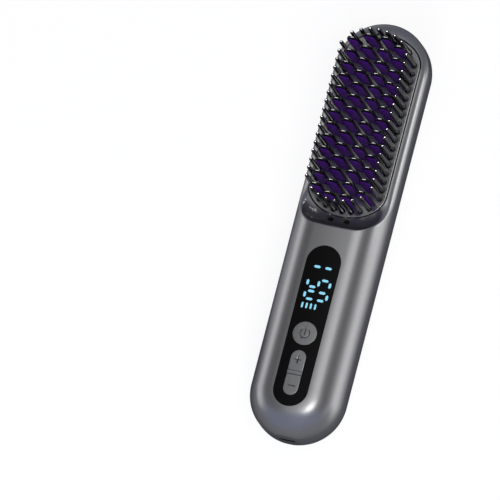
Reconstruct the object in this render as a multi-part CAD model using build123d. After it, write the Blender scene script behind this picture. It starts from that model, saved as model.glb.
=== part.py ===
from build123d import *
import math
import os

# Cordless steam hair straightener brush, lying on its back.
# Frame: +X to the right of the face, +Y towards the head, +Z out of the comb.
# The origin lies under the middle of the body, on the surface that the back rests on.
# All sizes are in millimetres.

OVERSHOOT = 1.0  # how far a cutting tool runs past the face that it cuts

# --- Body shells ---
BODY_LENGTH = 208.5
BODY_WIDTH = 46.0
HANDLE_DEPTH = 34.8
HEAD_DEPTH = 25.2
EDGE_RADIUS = 14.0
TIP_MARGIN = 6.5
WALL = 2.0
PARTING_HEIGHT = 9.0
LIP_HEIGHT = 1.5
LIP_WALL = 0.9
LIP_GAP = 0.1
TAIL_FACET_WIDTH = 11.5

# --- Neck cove, where the handle steps down to the head ---
NECK_LENGTH = 7.55
COVE_SLOPE = 27.0
COVE_RADIUS = 8.5
COVE_FLAT = 18.0
COVE_CORNER = 13.1
COVE_FLARE = 28.0
RIM_RADIUS = 2.5

# --- Comb plate and its seat in the head ---
PLATE_WIDTH = 38.1
PLATE_END = 13.4
PLATE_THICKNESS = 1.8
PLATE_SEAM = 0.3
LEDGE_WIDTH = 1.2
LEDGE_THICKNESS = 1.4

# --- Teeth: aluminium fins, each under a black cap ---
TOOTH_PITCH = 6.1
TOOTH_END_MARGIN = 5.0
CENTRE_GAP = 2.7
TOOTH_WIDTH = 5.8
TOOTH_HEIGHT = 19.5
CAP_THICKNESS = 1.5
CAP_LEG = 0.75
CAP_CROWN = 1.4
CAP_SHOULDER = 2.2
FIN_THICKNESS = 1.2
FIN_ROOT = 0.5
SLOT_GAP = 0.1

# --- Guard pins round the comb ---
PIN_EDGE_INSET = 2.75
PIN_TOOTH_GAP = 0.3
PIN_PITCH = 4.19
PIN_ROW_OVERRUN = 1.6
PIN_END_INSET = 2.6
PINS_PER_HALF_END = 3
PIN_END_PITCH = 4.25
PIN_ROOT_RADIUS = 1.45
PIN_TIP_RADIUS = 1.0
PIN_HEIGHT = 19.3
PIN_HOLE_GAP = 0.05
CARRIER_THICKNESS = 2.5
CARRIER_EDGE = 0.1

# --- Heater below the comb ---
HEATER_AIR = 0.3
HEATING_PLATE_THICKNESS = 2.2
HEATING_PLATE_MARGIN = 0.15
HEATER_SIDE_MARGIN = 4.7
HEATER_END_MARGIN = 6.5
HEATER_THICKNESS = 1.6
MICA_THICKNESS = 0.4
CLAMP_FLANGE = 4.5
CLAMP_OVERHANG = 3.0
CLAMP_THICKNESS = 0.8
CLAMP_SCREW_EDGE = 2.1
CLAMP_SCREW_INSET = 1.0
CLAMP_BOSS_RADIUS = 1.9
CLAMP_SLOT_X = 5.0
CLAMP_SLOT_LENGTH = 22.0
CLAMP_SLOT_WIDTH = 1.9
CLAMP_SCREW_BITE = 1.0
CLAMP_BORE_SPARE = 0.4
SENSOR_WIDTH = 3.0
SENSOR_LENGTH = 6.0
SENSOR_EDGE = 0.75
SENSOR_GAP = 0.1
FUSE_RADIUS = 1.0
FUSE_LENGTH = 9.0
TRAY_FLOOR = 14.0
TRAY_WALL = 1.2
TRAY_POST_RADIUS = 1.6
TRAY_POST_INSET = 0.6

# --- Control strip on the handle ---
PANEL_WIDTH = 17.1
PANEL_TAIL_MARGIN = 12.95
PANEL_THICKNESS = 1.2
PANEL_GAP = 0.05
KEY_GAP = 0.1
KEY_RISE = 0.5
KEY_EDGE_RADIUS = 0.3
KEY_TRAVEL = 0.5
KEY_FLANGE = 0.8
KEY_FLANGE_THICKNESS = 0.8
KEY_REST_GAP = 0.1
KEY_STEM_RADIUS = 1.6
KEY_STOP_GAP = 0.1
DISPLAY_TO_POWER = 7.75
POWER_RADIUS = 5.85
POWER_TO_PILL = 2.6
PILL_WIDTH = 7.3
PILL_LENGTH = 22.5
PILL_INSET = 5.35
DIVIDER_WIDTH = 1.6
DIVIDER_GROOVE = 0.15

# --- Display: three seven-segment digits that read from head to tail, and four battery bars ---
DIGIT_X = 0.45
DIGIT_HEIGHT = 11.0
DIGIT_WIDTH = 3.9
DISPLAY_INSET = 10.9
DIGIT_STEPS = (0.0, 8.15, 14.25)
SEGMENT_LENGTH = 3.4
SEGMENT_SHORT = 2.9
SEGMENT_WIDTH = 1.25
BAR_STEP = 19.6
BAR_FIRST_X = -4.9
BAR_PITCH = 2.15
BAR_COUNT = 4
BAR_LENGTH = 3.0
BAR_WIDTH = 0.95
WINDOW_WIDTH = 14.2
WINDOW_MARGIN = 4.2

# --- Electronics and battery in the handle ---
BOARD_WIDTH = 22.0
BOARD_HEAD_INSET = 6.1
BOARD_TAIL_INSET = 2.3
BOARD_THICKNESS = 1.6
BOARD_UNDERSIDE = 25.6
SWITCH_SIZE = 6.0
SWITCH_HEIGHT = 2.0
SWITCH_STUD = 0.5
CELL_RADIUS = 9.2
CELL_LENGTH = 65.0
CELL_GAP = 0.4
CELL_BOSS_GAP = 1.05
CELL_FLOOR = 4.8
CELL_CHAMFER = 0.6
CRADLE_WIDTH = 6.0
CRADLE_SPAN = 40.0
CRADLE_SPINE_WIDTH = 2.0
CRADLE_SPINE_TOP = 6.8
CRADLE_GAP = 0.15
TAB_THICKNESS = 0.3
TAB_HEIGHT = 7.0

# --- Charging socket in the tail ---
SOCKET_WIDTH = 8.94
SOCKET_HEIGHT = 3.26
SOCKET_DEPTH = 7.3
SOCKET_SHELL = 0.3
SOCKET_GAP = 0.08
SOCKET_HEIGHT_UP = 17.0
TONGUE_WIDTH = 6.7
TONGUE_THICKNESS = 0.7
TONGUE_LENGTH = 4.9
CHARGE_BOARD_WIDTH = 12.0
CHARGE_BOARD_LENGTH = 8.4
CHARGE_BOARD_THICKNESS = 1.0
CHARGE_BOARD_GAP = 0.5

# --- Water tank and mist generator in the neck ---
TANK_WIDTH = 34.0
TANK_BACK_REACH = 17.5
TANK_STEP_REACH = 5.7
TANK_FRONT_REACH = 9.3
TANK_FLOOR = 3.6
TANK_TOP = 25.0
TANK_FOOT_TOP = 13.0
TANK_WALL = 1.5
STEAM_HOLE_RADIUS = 1.5
STEAM_HOLE_SPACING = 8.0
STEAM_TILT = 52.0
NOZZLE_RADIUS = 8.4
NOZZLE_LENGTH = 2.6
NOZZLE_TOP = -2.6
CHAMBER_RADIUS = 6.0
DISC_RADIUS = 7.2
DISC_THICKNESS = 0.8
GASKET_RADIUS = 8.4
GASKET_THICKNESS = 2.8
HOLDER_THICKNESS = 1.4
WICK_RADIUS = 3.4
WICK_LENGTH = 10.2
WICK_GAP = 0.1

# --- Filling plug on the left side of the neck ---
PLUG_INSET = 4.8
PLUG_HEIGHT = 17.2
PLUG_LENGTH = 11.0
PLUG_WIDTH = 5.8
PLUG_THICKNESS = 1.1
PLUG_GAP = 0.1
SPIGOT_RADIUS = 1.9
SPIGOT_LENGTH = 4.6
SPIGOT_GAP = 0.05
FILLER_WALL = 0.9

# --- Shell fasteners ---
NECK_SCREW_X = 14.6
BOSS_RADIUS = 2.2
BOSS_GAP = 0.25
SCREW_RADIUS = 0.95
SCREW_HEAD_RADIUS = 1.9
SCREW_HEAD_HEIGHT = 1.3
SCREW_RECESS = 0.2
SCREW_LENGTH = 9.0
PILOT_SPARE = 1.0
PILOT_GAP = 0.05

# --- Lengths and places that follow from the sizes above ---
TAIL_Y = -BODY_LENGTH / 2
TAIL_RADIUS = BODY_WIDTH / 2
FACET_DEPTH = TAIL_RADIUS - math.sqrt(TAIL_RADIUS**2 - (TAIL_FACET_WIDTH / 2) ** 2)
FACET_Y = TAIL_Y + FACET_DEPTH
STEP_DROP = HANDLE_DEPTH - HEAD_DEPTH

# The handle is as long as the battery, the neck screws and the tank need.
CELL_SPACING = 2 * CELL_RADIUS + CELL_GAP
CELL_EDGE_X = CELL_SPACING / 2 + CELL_RADIUS
CELL_INSET = TAIL_RADIUS - math.sqrt((TAIL_RADIUS - WALL) ** 2 - CELL_EDGE_X**2) + CELL_GAP
SCREW_BAY = CELL_BOSS_GAP + 2 * BOSS_RADIUS + BOSS_GAP
HANDLE_LENGTH = CELL_INSET + CELL_LENGTH + SCREW_BAY + TANK_WALL + TANK_BACK_REACH
CELL_Y = TAIL_Y + CELL_INSET + CELL_LENGTH / 2
NECK_LIP_Y = TAIL_Y + HANDLE_LENGTH
TANK_BACK_Y = NECK_LIP_Y - TANK_BACK_REACH
TANK_STEP_Y = NECK_LIP_Y - TANK_STEP_REACH
TANK_FRONT_Y = NECK_LIP_Y + TANK_FRONT_REACH
PLUG_Y = TANK_BACK_Y + PLUG_INSET
PLUG_SEAT_X = -BODY_WIDTH / 2 + PLUG_THICKNESS
NECK_SCREW_Y = TANK_BACK_Y - TANK_WALL - BOSS_GAP - BOSS_RADIUS

# The panel is as long as the display and the keys need.
DISPLAY_LENGTH = DISPLAY_INSET + BAR_STEP + DISPLAY_TO_POWER
PANEL_LENGTH = DISPLAY_LENGTH + 2 * POWER_RADIUS + POWER_TO_PILL + PILL_LENGTH + PILL_INSET
PANEL_Y = TAIL_Y + PANEL_TAIL_MARGIN + PANEL_LENGTH / 2
PILL_Y = PANEL_Y - PANEL_LENGTH / 2 + PILL_INSET + PILL_LENGTH / 2
POWER_Y = PILL_Y + PILL_LENGTH / 2 + POWER_TO_PILL + POWER_RADIUS
FIRST_DIGIT_Y = PANEL_Y + PANEL_LENGTH / 2 - DISPLAY_INSET
WINDOW_LENGTH = BAR_STEP + 2 * WINDOW_MARGIN
WINDOW_Y = FIRST_DIGIT_Y - BAR_STEP / 2
BOARD_LENGTH = PANEL_LENGTH - BOARD_HEAD_INSET - BOARD_TAIL_INSET
BOARD_Y = PANEL_Y + (BOARD_TAIL_INSET - BOARD_HEAD_INSET) / 2

# The comb takes the rest of the body, with as many teeth and pins as it has room for.
PLATE_LENGTH = BODY_LENGTH - HANDLE_LENGTH - NECK_LENGTH - TIP_MARGIN
PLATE_STRAIGHT = PLATE_LENGTH - 2 * PLATE_END
COMB_Y = NECK_LIP_Y + NECK_LENGTH + PLATE_LENGTH / 2
TIP_SCREW_Y = COMB_Y + PLATE_LENGTH / 2 - LEDGE_WIDTH + BOSS_GAP + BOSS_RADIUS
INNER_ROWS = 1 + int((PLATE_LENGTH - 2 * TOOTH_END_MARGIN - CAP_THICKNESS) / TOOTH_PITCH)
OUTER_ROWS = INNER_ROWS - 1
INNER_END_Y = (INNER_ROWS - 1) / 2 * TOOTH_PITCH
OUTER_END_Y = (OUTER_ROWS - 1) / 2 * TOOTH_PITCH
PINS_PER_SIDE = 1 + 2 * int((PLATE_STRAIGHT / 2 + PIN_ROW_OVERRUN) / PIN_PITCH)
PIN_SIDE_X = PLATE_WIDTH / 2 - PIN_EDGE_INSET
INNER_COLUMN_X = (TOOTH_WIDTH + CENTRE_GAP) / 2
OUTER_COLUMN_X = PIN_SIDE_X - PIN_ROOT_RADIUS - PIN_TOOTH_GAP - TOOTH_WIDTH / 2
HEATING_PLATE_X = OUTER_COLUMN_X + TOOTH_WIDTH / 2 + HEATING_PLATE_MARGIN
HEATING_PLATE_Y = OUTER_END_Y + CAP_THICKNESS / 2 + HEATING_PLATE_MARGIN
HEATER_WIDTH = 2 * (HEATING_PLATE_X - HEATER_SIDE_MARGIN)
HEATER_LENGTH = 2 * (HEATING_PLATE_Y - HEATER_END_MARGIN)
CLAMP_WIDTH = HEATER_WIDTH + 2 * CLAMP_FLANGE
CLAMP_LENGTH = HEATER_LENGTH + 2 * CLAMP_OVERHANG
CLAMP_SCREW_X = CLAMP_WIDTH / 2 - CLAMP_SCREW_EDGE
CLAMP_SCREW_SPAN = HEATER_LENGTH - 2 * CLAMP_SCREW_INSET
TRAY_POST_Y = OUTER_END_Y - TRAY_POST_INSET
TRAY_NECK_Y = COMB_Y - INNER_END_Y - CAP_THICKNESS / 2 - 2 * HEATING_PLATE_MARGIN - TRAY_WALL

# --- Levels that follow from the sizes above ---
PLATE_UNDERSIDE = HEAD_DEPTH - PLATE_THICKNESS
TOOTH_TOP = HEAD_DEPTH + TOOTH_HEIGHT
HEATING_PLATE_TOP = PLATE_UNDERSIDE - HEATER_AIR
HEATING_PLATE_FLOOR = HEATING_PLATE_TOP - HEATING_PLATE_THICKNESS
HEATER_FLOOR = HEATING_PLATE_FLOOR - HEATER_THICKNESS
MICA_FLOOR = HEATER_FLOOR - MICA_THICKNESS
CLAMP_FLOOR = MICA_FLOOR - CLAMP_THICKNESS
CARRIER_FLOOR = PLATE_UNDERSIDE - CARRIER_THICKNESS
PANEL_FLOOR = HANDLE_DEPTH - PANEL_THICKNESS
CEILING = HANDLE_DEPTH - WALL
KEY_TOP = HANDLE_DEPTH + KEY_RISE
FLANGE_TOP = CEILING - KEY_REST_GAP
FLANGE_FLOOR = FLANGE_TOP - KEY_FLANGE_THICKNESS
BOARD_TOP = BOARD_UNDERSIDE + BOARD_THICKNESS
SWITCH_TOP = BOARD_TOP + SWITCH_HEIGHT
STEM_FLOOR = SWITCH_TOP + KEY_TRAVEL + KEY_STOP_GAP


def block(width, length, low, high, x=0.0, y=0.0):
    """A box centred on x, y that spans the heights low to high."""
    return Pos(x, y, (low + high) / 2) * Box(width, length, high - low)


def disc(radius, low, high, x=0.0, y=0.0):
    """An upright cylinder centred on x, y that spans the heights low to high."""
    return Pos(x, y, (low + high) / 2) * Cylinder(radius, high - low)


def prism(sketch, low, high):
    """A plan sketch raised from the height low to the height high."""
    return Pos(0, 0, low) * extrude(sketch, high - low)


def capsule(length, width, y=0.0):
    """A round-ended plan outline that lies along Y."""
    return Pos(0, y) * SlotOverall(length, width, rotation=90)


# --- Body form -------------------------------------------------------------------------------

def head_pocket(grow):
    """The space in front of the head, grown by grow: a flared pocket with a coved foot."""
    slope = math.radians(COVE_SLOPE)
    flare = math.radians(COVE_FLARE)
    foot_y = NECK_LIP_Y + STEP_DROP * math.tan(slope)
    centre_x = COVE_FLAT / 2
    centre_y = foot_y + COVE_CORNER
    radius = COVE_CORNER + grow * (1 - math.sin(slope)) / math.cos(slope)
    half_turn = (math.pi / 2 + flare) / 2
    start = (centre_x, centre_y - radius)
    middle = (centre_x + radius * math.cos(half_turn), centre_y - radius * math.sin(half_turn))
    end = (centre_x + radius * math.cos(flare), centre_y - radius * math.sin(flare))
    far_x = BODY_WIDTH
    side_y = end[1] + (far_x - end[0]) / math.tan(flare)
    far_y = side_y + BODY_LENGTH
    right_arc = ThreePointArc(start, middle, end)
    right_side = Polyline(end, (far_x, side_y), (far_x, far_y), (0, far_y))
    half = Line((0, start[1]), start) + right_arc + right_side
    outline = make_face(half + mirror(half, Plane.YZ))
    level = Plane.XY.offset(HEAD_DEPTH - grow)
    pocket = extrude(level * outline, STEP_DROP + HEAD_DEPTH, taper=-COVE_SLOPE)
    foot = pocket.faces().sort_by(Axis.Z)[0]
    neck_edges = foot.edges().filter_by(lambda edge: edge.center().Y < side_y - OVERSHOOT)
    return fillet(neck_edges, COVE_RADIUS + grow)


def body_form(inset, rim=0.0):
    """The outside of the closed body, offset inwards by inset, with a rounded head rim."""
    outline = capsule(BODY_LENGTH - 2 * inset, BODY_WIDTH - 2 * inset)
    blank = prism(outline, inset, HANDLE_DEPTH - inset)
    levels = blank.faces().sort_by(Axis.Z)
    blank = fillet(levels[0].edges() + levels[-1].edges(), EDGE_RADIUS - inset)
    pocket = head_pocket(inset)
    body = blank - pocket
    if rim > 0:
        body = fillet(new_edges(blank, pocket, combined=body), rim)
    return body


def plate_outline(grow):
    """The comb plate's plan outline: straight sides and half-elliptical ends, grown by grow."""
    outline = Pos(0, COMB_Y) * Rectangle(PLATE_WIDTH + 2 * grow, PLATE_STRAIGHT)
    end = Ellipse(PLATE_WIDTH / 2 + grow, PLATE_END + grow)
    for side in (-1, 1):
        outline += Pos(0, COMB_Y + side * PLATE_STRAIGHT / 2) * end
    return outline


def above(height):
    """A block that covers everything above a height."""
    return block(2 * BODY_WIDTH, 2 * BODY_LENGTH, height, HANDLE_DEPTH + BODY_WIDTH)


# --- Mist axis: the steam leaves along it, through the foot of the cove -----------------------

def mist_frame():
    """A frame at the steam holes, with its z axis out along the steam."""
    tilt = math.radians(STEAM_TILT)
    slope = math.radians(COVE_SLOPE)
    foot_y = NECK_LIP_Y + STEP_DROP * math.tan(slope)
    tangent = COVE_RADIUS * math.tan((math.pi / 2 - slope) / 2)
    arc_y = foot_y + tangent
    arc_z = HEAD_DEPTH + COVE_RADIUS
    mouth = (0, arc_y - COVE_RADIUS * math.cos(tilt), arc_z - COVE_RADIUS * math.sin(tilt))
    return Plane(origin=mouth, x_dir=(1, 0, 0), z_dir=(0, math.cos(tilt), math.sin(tilt)))


def on_mist_axis(radius, low, high, x=0.0):
    """A cylinder along the mist axis, between two distances from the mouth."""
    local = Pos(x, 0, (low + high) / 2) * Cylinder(radius, high - low)
    return mist_frame().location * local


# --- Tooth and pin places --------------------------------------------------------------------

def tooth_places():
    places = []
    for x, rows in (
        (-OUTER_COLUMN_X, OUTER_ROWS),
        (-INNER_COLUMN_X, INNER_ROWS),
        (INNER_COLUMN_X, INNER_ROWS),
        (OUTER_COLUMN_X, OUTER_ROWS),
    ):
        for row in range(rows):
            places.append((x, COMB_Y + (row - (rows - 1) / 2) * TOOTH_PITCH))
    return places


def pin_places():
    """Pin centres: two straight rows, and an arched group at each end."""
    places = []
    for side in (-1, 1):
        for row in range(PINS_PER_SIDE):
            places.append((side * PIN_SIDE_X, COMB_Y + (row - (PINS_PER_SIDE - 1) / 2) * PIN_PITCH))
    rise = PLATE_END - PIN_END_INSET
    for end in (-1, 1):
        for step in range(-PINS_PER_HALF_END, PINS_PER_HALF_END + 1):
            x = end_pin_x(abs(step), rise) * (1 if step > 0 else -1)
            arch = rise * math.sqrt(1 - (x / PIN_SIDE_X) ** 2)
            places.append((x, COMB_Y + end * (PLATE_STRAIGHT / 2 + arch)))
    return places


def end_pin_x(steps, rise):
    """The sideways place of an end pin, a number of pitches along the arch from its middle."""
    x = 0.0
    for _ in range(steps):
        slope = rise * x / PIN_SIDE_X**2 / math.sqrt(1 - (x / PIN_SIDE_X) ** 2)
        x += PIN_END_PITCH / math.sqrt(1 + slope**2)
    return x


# --- Comb pieces -----------------------------------------------------------------------------

def comb_plate():
    plate = prism(plate_outline(0), PLATE_UNDERSIDE, HEAD_DEPTH)
    slot = Rectangle(TOOTH_WIDTH + 2 * SLOT_GAP, CAP_THICKNESS + 2 * SLOT_GAP)
    hole = Circle(PIN_ROOT_RADIUS + PIN_HOLE_GAP)
    cuts = Sketch() + [Pos(x, y) * slot for x, y in tooth_places()]
    cuts += [Pos(x, y) * hole for x, y in pin_places()]
    return plate - prism(cuts, PLATE_UNDERSIDE - OVERSHOOT, HEAD_DEPTH + OVERSHOOT)


def heating_outline(grow):
    """The heating plate's plan outline: it reaches the end teeth of each column."""
    outer_x = HEATING_PLATE_X + grow
    outer_y = HEATING_PLATE_Y + grow
    inner_x = INNER_COLUMN_X + TOOTH_WIDTH / 2 + HEATING_PLATE_MARGIN + grow
    inner_y = INNER_END_Y + CAP_THICKNESS / 2 + HEATING_PLATE_MARGIN + grow
    corners = [
        (outer_x, -outer_y), (outer_x, outer_y), (inner_x, inner_y), (-inner_x, inner_y),
        (-outer_x, outer_y), (-outer_x, -outer_y), (-inner_x, -inner_y), (inner_x, -inner_y),
    ]
    return Pos(0, COMB_Y) * make_face(Polyline(corners, close=True))


def upright(width, low, high):
    """An upright rectangle in the XZ plane's own coordinates."""
    return Pos(0, (low + high) / 2) * Rectangle(width, high - low)


def fin_profile(low):
    """A fin's front outline, which the inside of a cap shares."""
    return upright(TOOTH_WIDTH - 2 * CAP_LEG, low, TOOTH_TOP - CAP_CROWN)


def heating_plate():
    """The die-cast plate: its base, its fins and the bosses that take the clamp screws."""
    base = prism(heating_outline(0), HEATING_PLATE_FLOOR, HEATING_PLATE_TOP)
    profile = fin_profile(HEATING_PLATE_TOP - FIN_ROOT)
    fin = extrude(Plane.XZ * profile, FIN_THICKNESS / 2, both=True)
    boss = disc(CLAMP_BOSS_RADIUS, MICA_FLOOR, HEATING_PLATE_FLOOR)
    bore_top = HEATING_PLATE_FLOOR + CLAMP_SCREW_BITE + CLAMP_BORE_SPARE
    bore = disc(SCREW_RADIUS + PILOT_GAP, MICA_FLOOR - OVERSHOOT, bore_top)
    plate = base + [Pos(x, y, 0) * fin for x, y in tooth_places()]
    plate += [Pos(x, y, 0) * boss for x, y in clamp_places()]
    return plate - [Pos(x, y, 0) * bore for x, y in clamp_places()]


def fin_caps():
    """Inverted U-shaped caps: a crown and two legs that reach down to the heating plate."""
    outer = upright(TOOTH_WIDTH, HEATING_PLATE_TOP, TOOTH_TOP)
    outer = fillet(outer.vertices().group_by(Axis.Y)[-1], CAP_SHOULDER)
    outline = outer - fin_profile(HEATING_PLATE_TOP - OVERSHOOT)
    cap = extrude(Plane.XZ * outline, CAP_THICKNESS / 2, both=True)
    return [Pos(x, y, 0) * cap for x, y in tooth_places()]


def guard_pins():
    """Round-tipped tapered pins that stand on the pin carrier and pass through the comb plate."""
    tip = HEAD_DEPTH + PIN_HEIGHT
    tip_centre = tip - PIN_TIP_RADIUS
    edge = (PIN_TIP_RADIUS * math.cos(math.pi / 4), tip_centre + PIN_TIP_RADIUS * math.sin(math.pi / 4))
    foot = Line((0, PLATE_UNDERSIDE), (PIN_ROOT_RADIUS, PLATE_UNDERSIDE))
    flank = Line((PIN_ROOT_RADIUS, PLATE_UNDERSIDE), (PIN_TIP_RADIUS, tip_centre))
    crown = ThreePointArc((PIN_TIP_RADIUS, tip_centre), edge, (0, tip))
    half = make_face(foot + flank + crown + Line((0, tip), (0, PLATE_UNDERSIDE)))
    pin = revolve(Plane.XZ * half, Axis.Z)
    return [Pos(x, y, 0) * pin for x, y in pin_places()]


def pin_carrier():
    ring = plate_outline(-LEDGE_WIDTH - CARRIER_EDGE) - heating_outline(HEATING_PLATE_MARGIN)
    return prism(ring, CARRIER_FLOOR, PLATE_UNDERSIDE)


# --- Heater pieces ---------------------------------------------------------------------------

def clamp_places():
    places = []
    for x in (-CLAMP_SCREW_X, CLAMP_SCREW_X):
        for y in (-CLAMP_SCREW_SPAN / 2, CLAMP_SCREW_SPAN / 2):
            places.append((x, COMB_Y + y))
    return places


def heater_element():
    return block(HEATER_WIDTH, HEATER_LENGTH, HEATER_FLOOR, HEATING_PLATE_FLOOR, y=COMB_Y)


def mica_sheet():
    return block(HEATER_WIDTH, HEATER_LENGTH, MICA_FLOOR, HEATER_FLOOR, y=COMB_Y)


def heater_clamp():
    """Pressed steel plate with rounded corners, two stiffening slots and four screw holes."""
    outline = Pos(0, COMB_Y) * RectangleRounded(CLAMP_WIDTH, CLAMP_LENGTH, CLAMP_BOSS_RADIUS)
    hole = Circle(SCREW_RADIUS + SLOT_GAP)
    outline -= [Pos(x, y) * hole for x, y in clamp_places()]
    slot = SlotOverall(CLAMP_SLOT_LENGTH, CLAMP_SLOT_WIDTH, rotation=90)
    outline -= [Pos(x, COMB_Y) * slot for x in (-CLAMP_SLOT_X, CLAMP_SLOT_X)]
    return prism(outline, CLAMP_FLOOR, MICA_FLOOR)


def clamp_screws():
    head = disc(SCREW_HEAD_RADIUS, CLAMP_FLOOR - SCREW_HEAD_HEIGHT, CLAMP_FLOOR)
    shank = disc(SCREW_RADIUS, CLAMP_FLOOR, HEATING_PLATE_FLOOR + CLAMP_SCREW_BITE)
    return [Pos(x, y, 0) * (head + shank) for x, y in clamp_places()]


def thermistor():
    sensor = block(SENSOR_WIDTH, SENSOR_LENGTH, MICA_FLOOR + SENSOR_GAP, HEATING_PLATE_FLOOR)
    sensor = fillet(sensor.edges().filter_by(Axis.Z), SENSOR_EDGE)
    return Pos(-CLAMP_SCREW_X, COMB_Y, 0) * sensor


def thermal_fuse():
    fuse = Rot(90, 0, 0) * Cylinder(FUSE_RADIUS, FUSE_LENGTH)
    return Pos(CLAMP_SCREW_X, COMB_Y, HEATING_PLATE_FLOOR - FUSE_RADIUS) * fuse


def tray_outline(inset):
    """The tray's plan outline: the plate's, cut off straight at the neck to clear the mist nozzle."""
    keep = Pos(0, TRAY_NECK_Y + inset + PLATE_LENGTH / 2) * Rectangle(BODY_WIDTH, PLATE_LENGTH)
    return plate_outline(-LEDGE_WIDTH - CARRIER_EDGE - inset) & keep


def heat_tray():
    """Heat-proof tray that closes the heater in from behind and carries plate and carrier."""
    tray = prism(tray_outline(0), TRAY_FLOOR, CARRIER_FLOOR)
    tray -= prism(tray_outline(TRAY_WALL), TRAY_FLOOR + TRAY_WALL, CARRIER_FLOOR + OVERSHOOT)
    for x in (-OUTER_COLUMN_X, OUTER_COLUMN_X):
        for y in (-TRAY_POST_Y, TRAY_POST_Y):
            tray += disc(TRAY_POST_RADIUS, TRAY_FLOOR, HEATING_PLATE_FLOOR, x, COMB_Y + y)
    return tray


# --- Control strip pieces --------------------------------------------------------------------

def power_outline(grow=0.0):
    return Pos(0, POWER_Y) * Circle(POWER_RADIUS + grow)


def pill_half(side, grow=0.0):
    """One end of the pill, cut off beside the divider. side is +1 at the head and -1 at the tail."""
    pill = capsule(PILL_LENGTH + 2 * grow, PILL_WIDTH + 2 * grow, PILL_Y)
    start = DIVIDER_WIDTH / 2 + DIVIDER_GROOVE - grow
    keep = Pos(0, PILL_Y + side * (start + PILL_LENGTH / 2)) * Rectangle(PILL_LENGTH, PILL_LENGTH)
    return pill & keep


def key_solid(outline, flange_outline, stem_y):
    """A key: cap above the ceiling, retaining flange below it and a stem for the switch."""
    cap = prism(outline, FLANGE_TOP, KEY_TOP)
    top_edges = cap.faces().sort_by(Axis.Z)[-1].edges()
    cap = fillet(top_edges, KEY_EDGE_RADIUS)
    flange = prism(flange_outline, FLANGE_FLOOR, FLANGE_TOP)
    return cap + flange + disc(KEY_STEM_RADIUS, STEM_FLOOR, FLANGE_FLOOR, y=stem_y)


def pill_centre(side):
    return PILL_Y + side * (PILL_LENGTH / 4 + DIVIDER_WIDTH / 4)


def power_button():
    return key_solid(power_outline(), power_outline(KEY_FLANGE), POWER_Y)


def pill_key(side):
    trim = Pos(0, PILL_Y) * Rectangle(2 * PILL_WIDTH, DIVIDER_WIDTH + DIVIDER_GROOVE)
    return key_solid(pill_half(side), pill_half(side, KEY_FLANGE) - trim, pill_centre(side))


def key_divider():
    """The fixed strip between the two halves of the pill. It stands on a bridge in the shell."""
    strip = Pos(0, PILL_Y) * Rectangle(PILL_WIDTH, DIVIDER_WIDTH)
    return prism(strip, PANEL_FLOOR, KEY_TOP)


def segment(length, width, along_x):
    """A lit segment: a bar with pointed ends."""
    half_length, half_width = length / 2, width / 2
    shoulder = half_length - half_width
    corners = [
        (-half_length, 0), (-shoulder, -half_width), (shoulder, -half_width),
        (half_length, 0), (shoulder, half_width), (-shoulder, half_width),
    ]
    outline = make_face(Polyline(corners, close=True))
    return outline if along_x else Rot(0, 0, 90) * outline


def digit(segments, y):
    """A seven-segment digit whose top points to +X. segments names the lit ones, a to g."""
    quarter = DIGIT_HEIGHT / 4
    half_width = DIGIT_WIDTH / 2
    places = {
        "a": (DIGIT_HEIGHT / 2, 0, False), "g": (0, 0, False), "d": (-DIGIT_HEIGHT / 2, 0, False),
        "f": (quarter, half_width, True), "b": (quarter, -half_width, True),
        "e": (-quarter, half_width, True), "c": (-quarter, -half_width, True),
    }
    lit = []
    for name in segments:
        x, dy, along_x = places[name]
        length = SEGMENT_LENGTH if along_x else SEGMENT_SHORT
        lit.append(Pos(DIGIT_X + x, y + dy) * segment(length, SEGMENT_WIDTH, along_x))
    return lit


def lit_outlines():
    """The lit marks: one, five and nought, then four battery bars."""
    one_y, five_y, nought_y = (FIRST_DIGIT_Y - step for step in DIGIT_STEPS)
    marks = digit("bc", one_y + DIGIT_WIDTH / 2) + digit("afgcd", five_y) + digit("abcdef", nought_y)
    bar = segment(BAR_LENGTH, BAR_WIDTH, False)
    bar_y = FIRST_DIGIT_Y - BAR_STEP
    marks += [Pos(BAR_FIRST_X + n * BAR_PITCH, bar_y) * bar for n in range(BAR_COUNT)]
    return marks


def display_segments():
    return [prism(mark, PANEL_FLOOR, HANDLE_DEPTH) for mark in lit_outlines()]


def control_panel():
    outline = capsule(PANEL_LENGTH, PANEL_WIDTH, PANEL_Y) - power_outline(KEY_GAP)
    outline -= capsule(PILL_LENGTH + 2 * KEY_GAP, PILL_WIDTH + 2 * KEY_GAP, PILL_Y)
    outline -= lit_outlines()
    return prism(outline, PANEL_FLOOR, HANDLE_DEPTH)


def display_module():
    clearance = 2 * KEY_GAP
    return block(
        WINDOW_WIDTH - clearance, WINDOW_LENGTH - clearance, BOARD_TOP, PANEL_FLOOR - KEY_GAP, y=WINDOW_Y
    )


# --- Shells ----------------------------------------------------------------------------------

def screw_seat(x, y):
    """The height of a shell screw's seat: its head stays below the rounded back all round."""
    straight = (BODY_LENGTH - BODY_WIDTH) / 2
    head_edge = math.hypot(x, max(abs(y) - straight, 0)) + SCREW_HEAD_RADIUS
    over = max(head_edge - (BODY_WIDTH / 2 - EDGE_RADIUS), 0)
    back = EDGE_RADIUS - math.sqrt(EDGE_RADIUS**2 - over**2)
    return back + SCREW_HEAD_HEIGHT + SCREW_RECESS


def shell_screw_places():
    """Each shell screw: x, y, its seat's height, and the height that its boss hangs from."""
    ledge = PLATE_UNDERSIDE - LEDGE_THICKNESS / 2
    places = [(-NECK_SCREW_X, NECK_SCREW_Y, CEILING), (NECK_SCREW_X, NECK_SCREW_Y, CEILING)]
    places.append((0, TIP_SCREW_Y, ledge))
    return [(x, y, screw_seat(x, y), hang) for x, y, hang in places]


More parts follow.
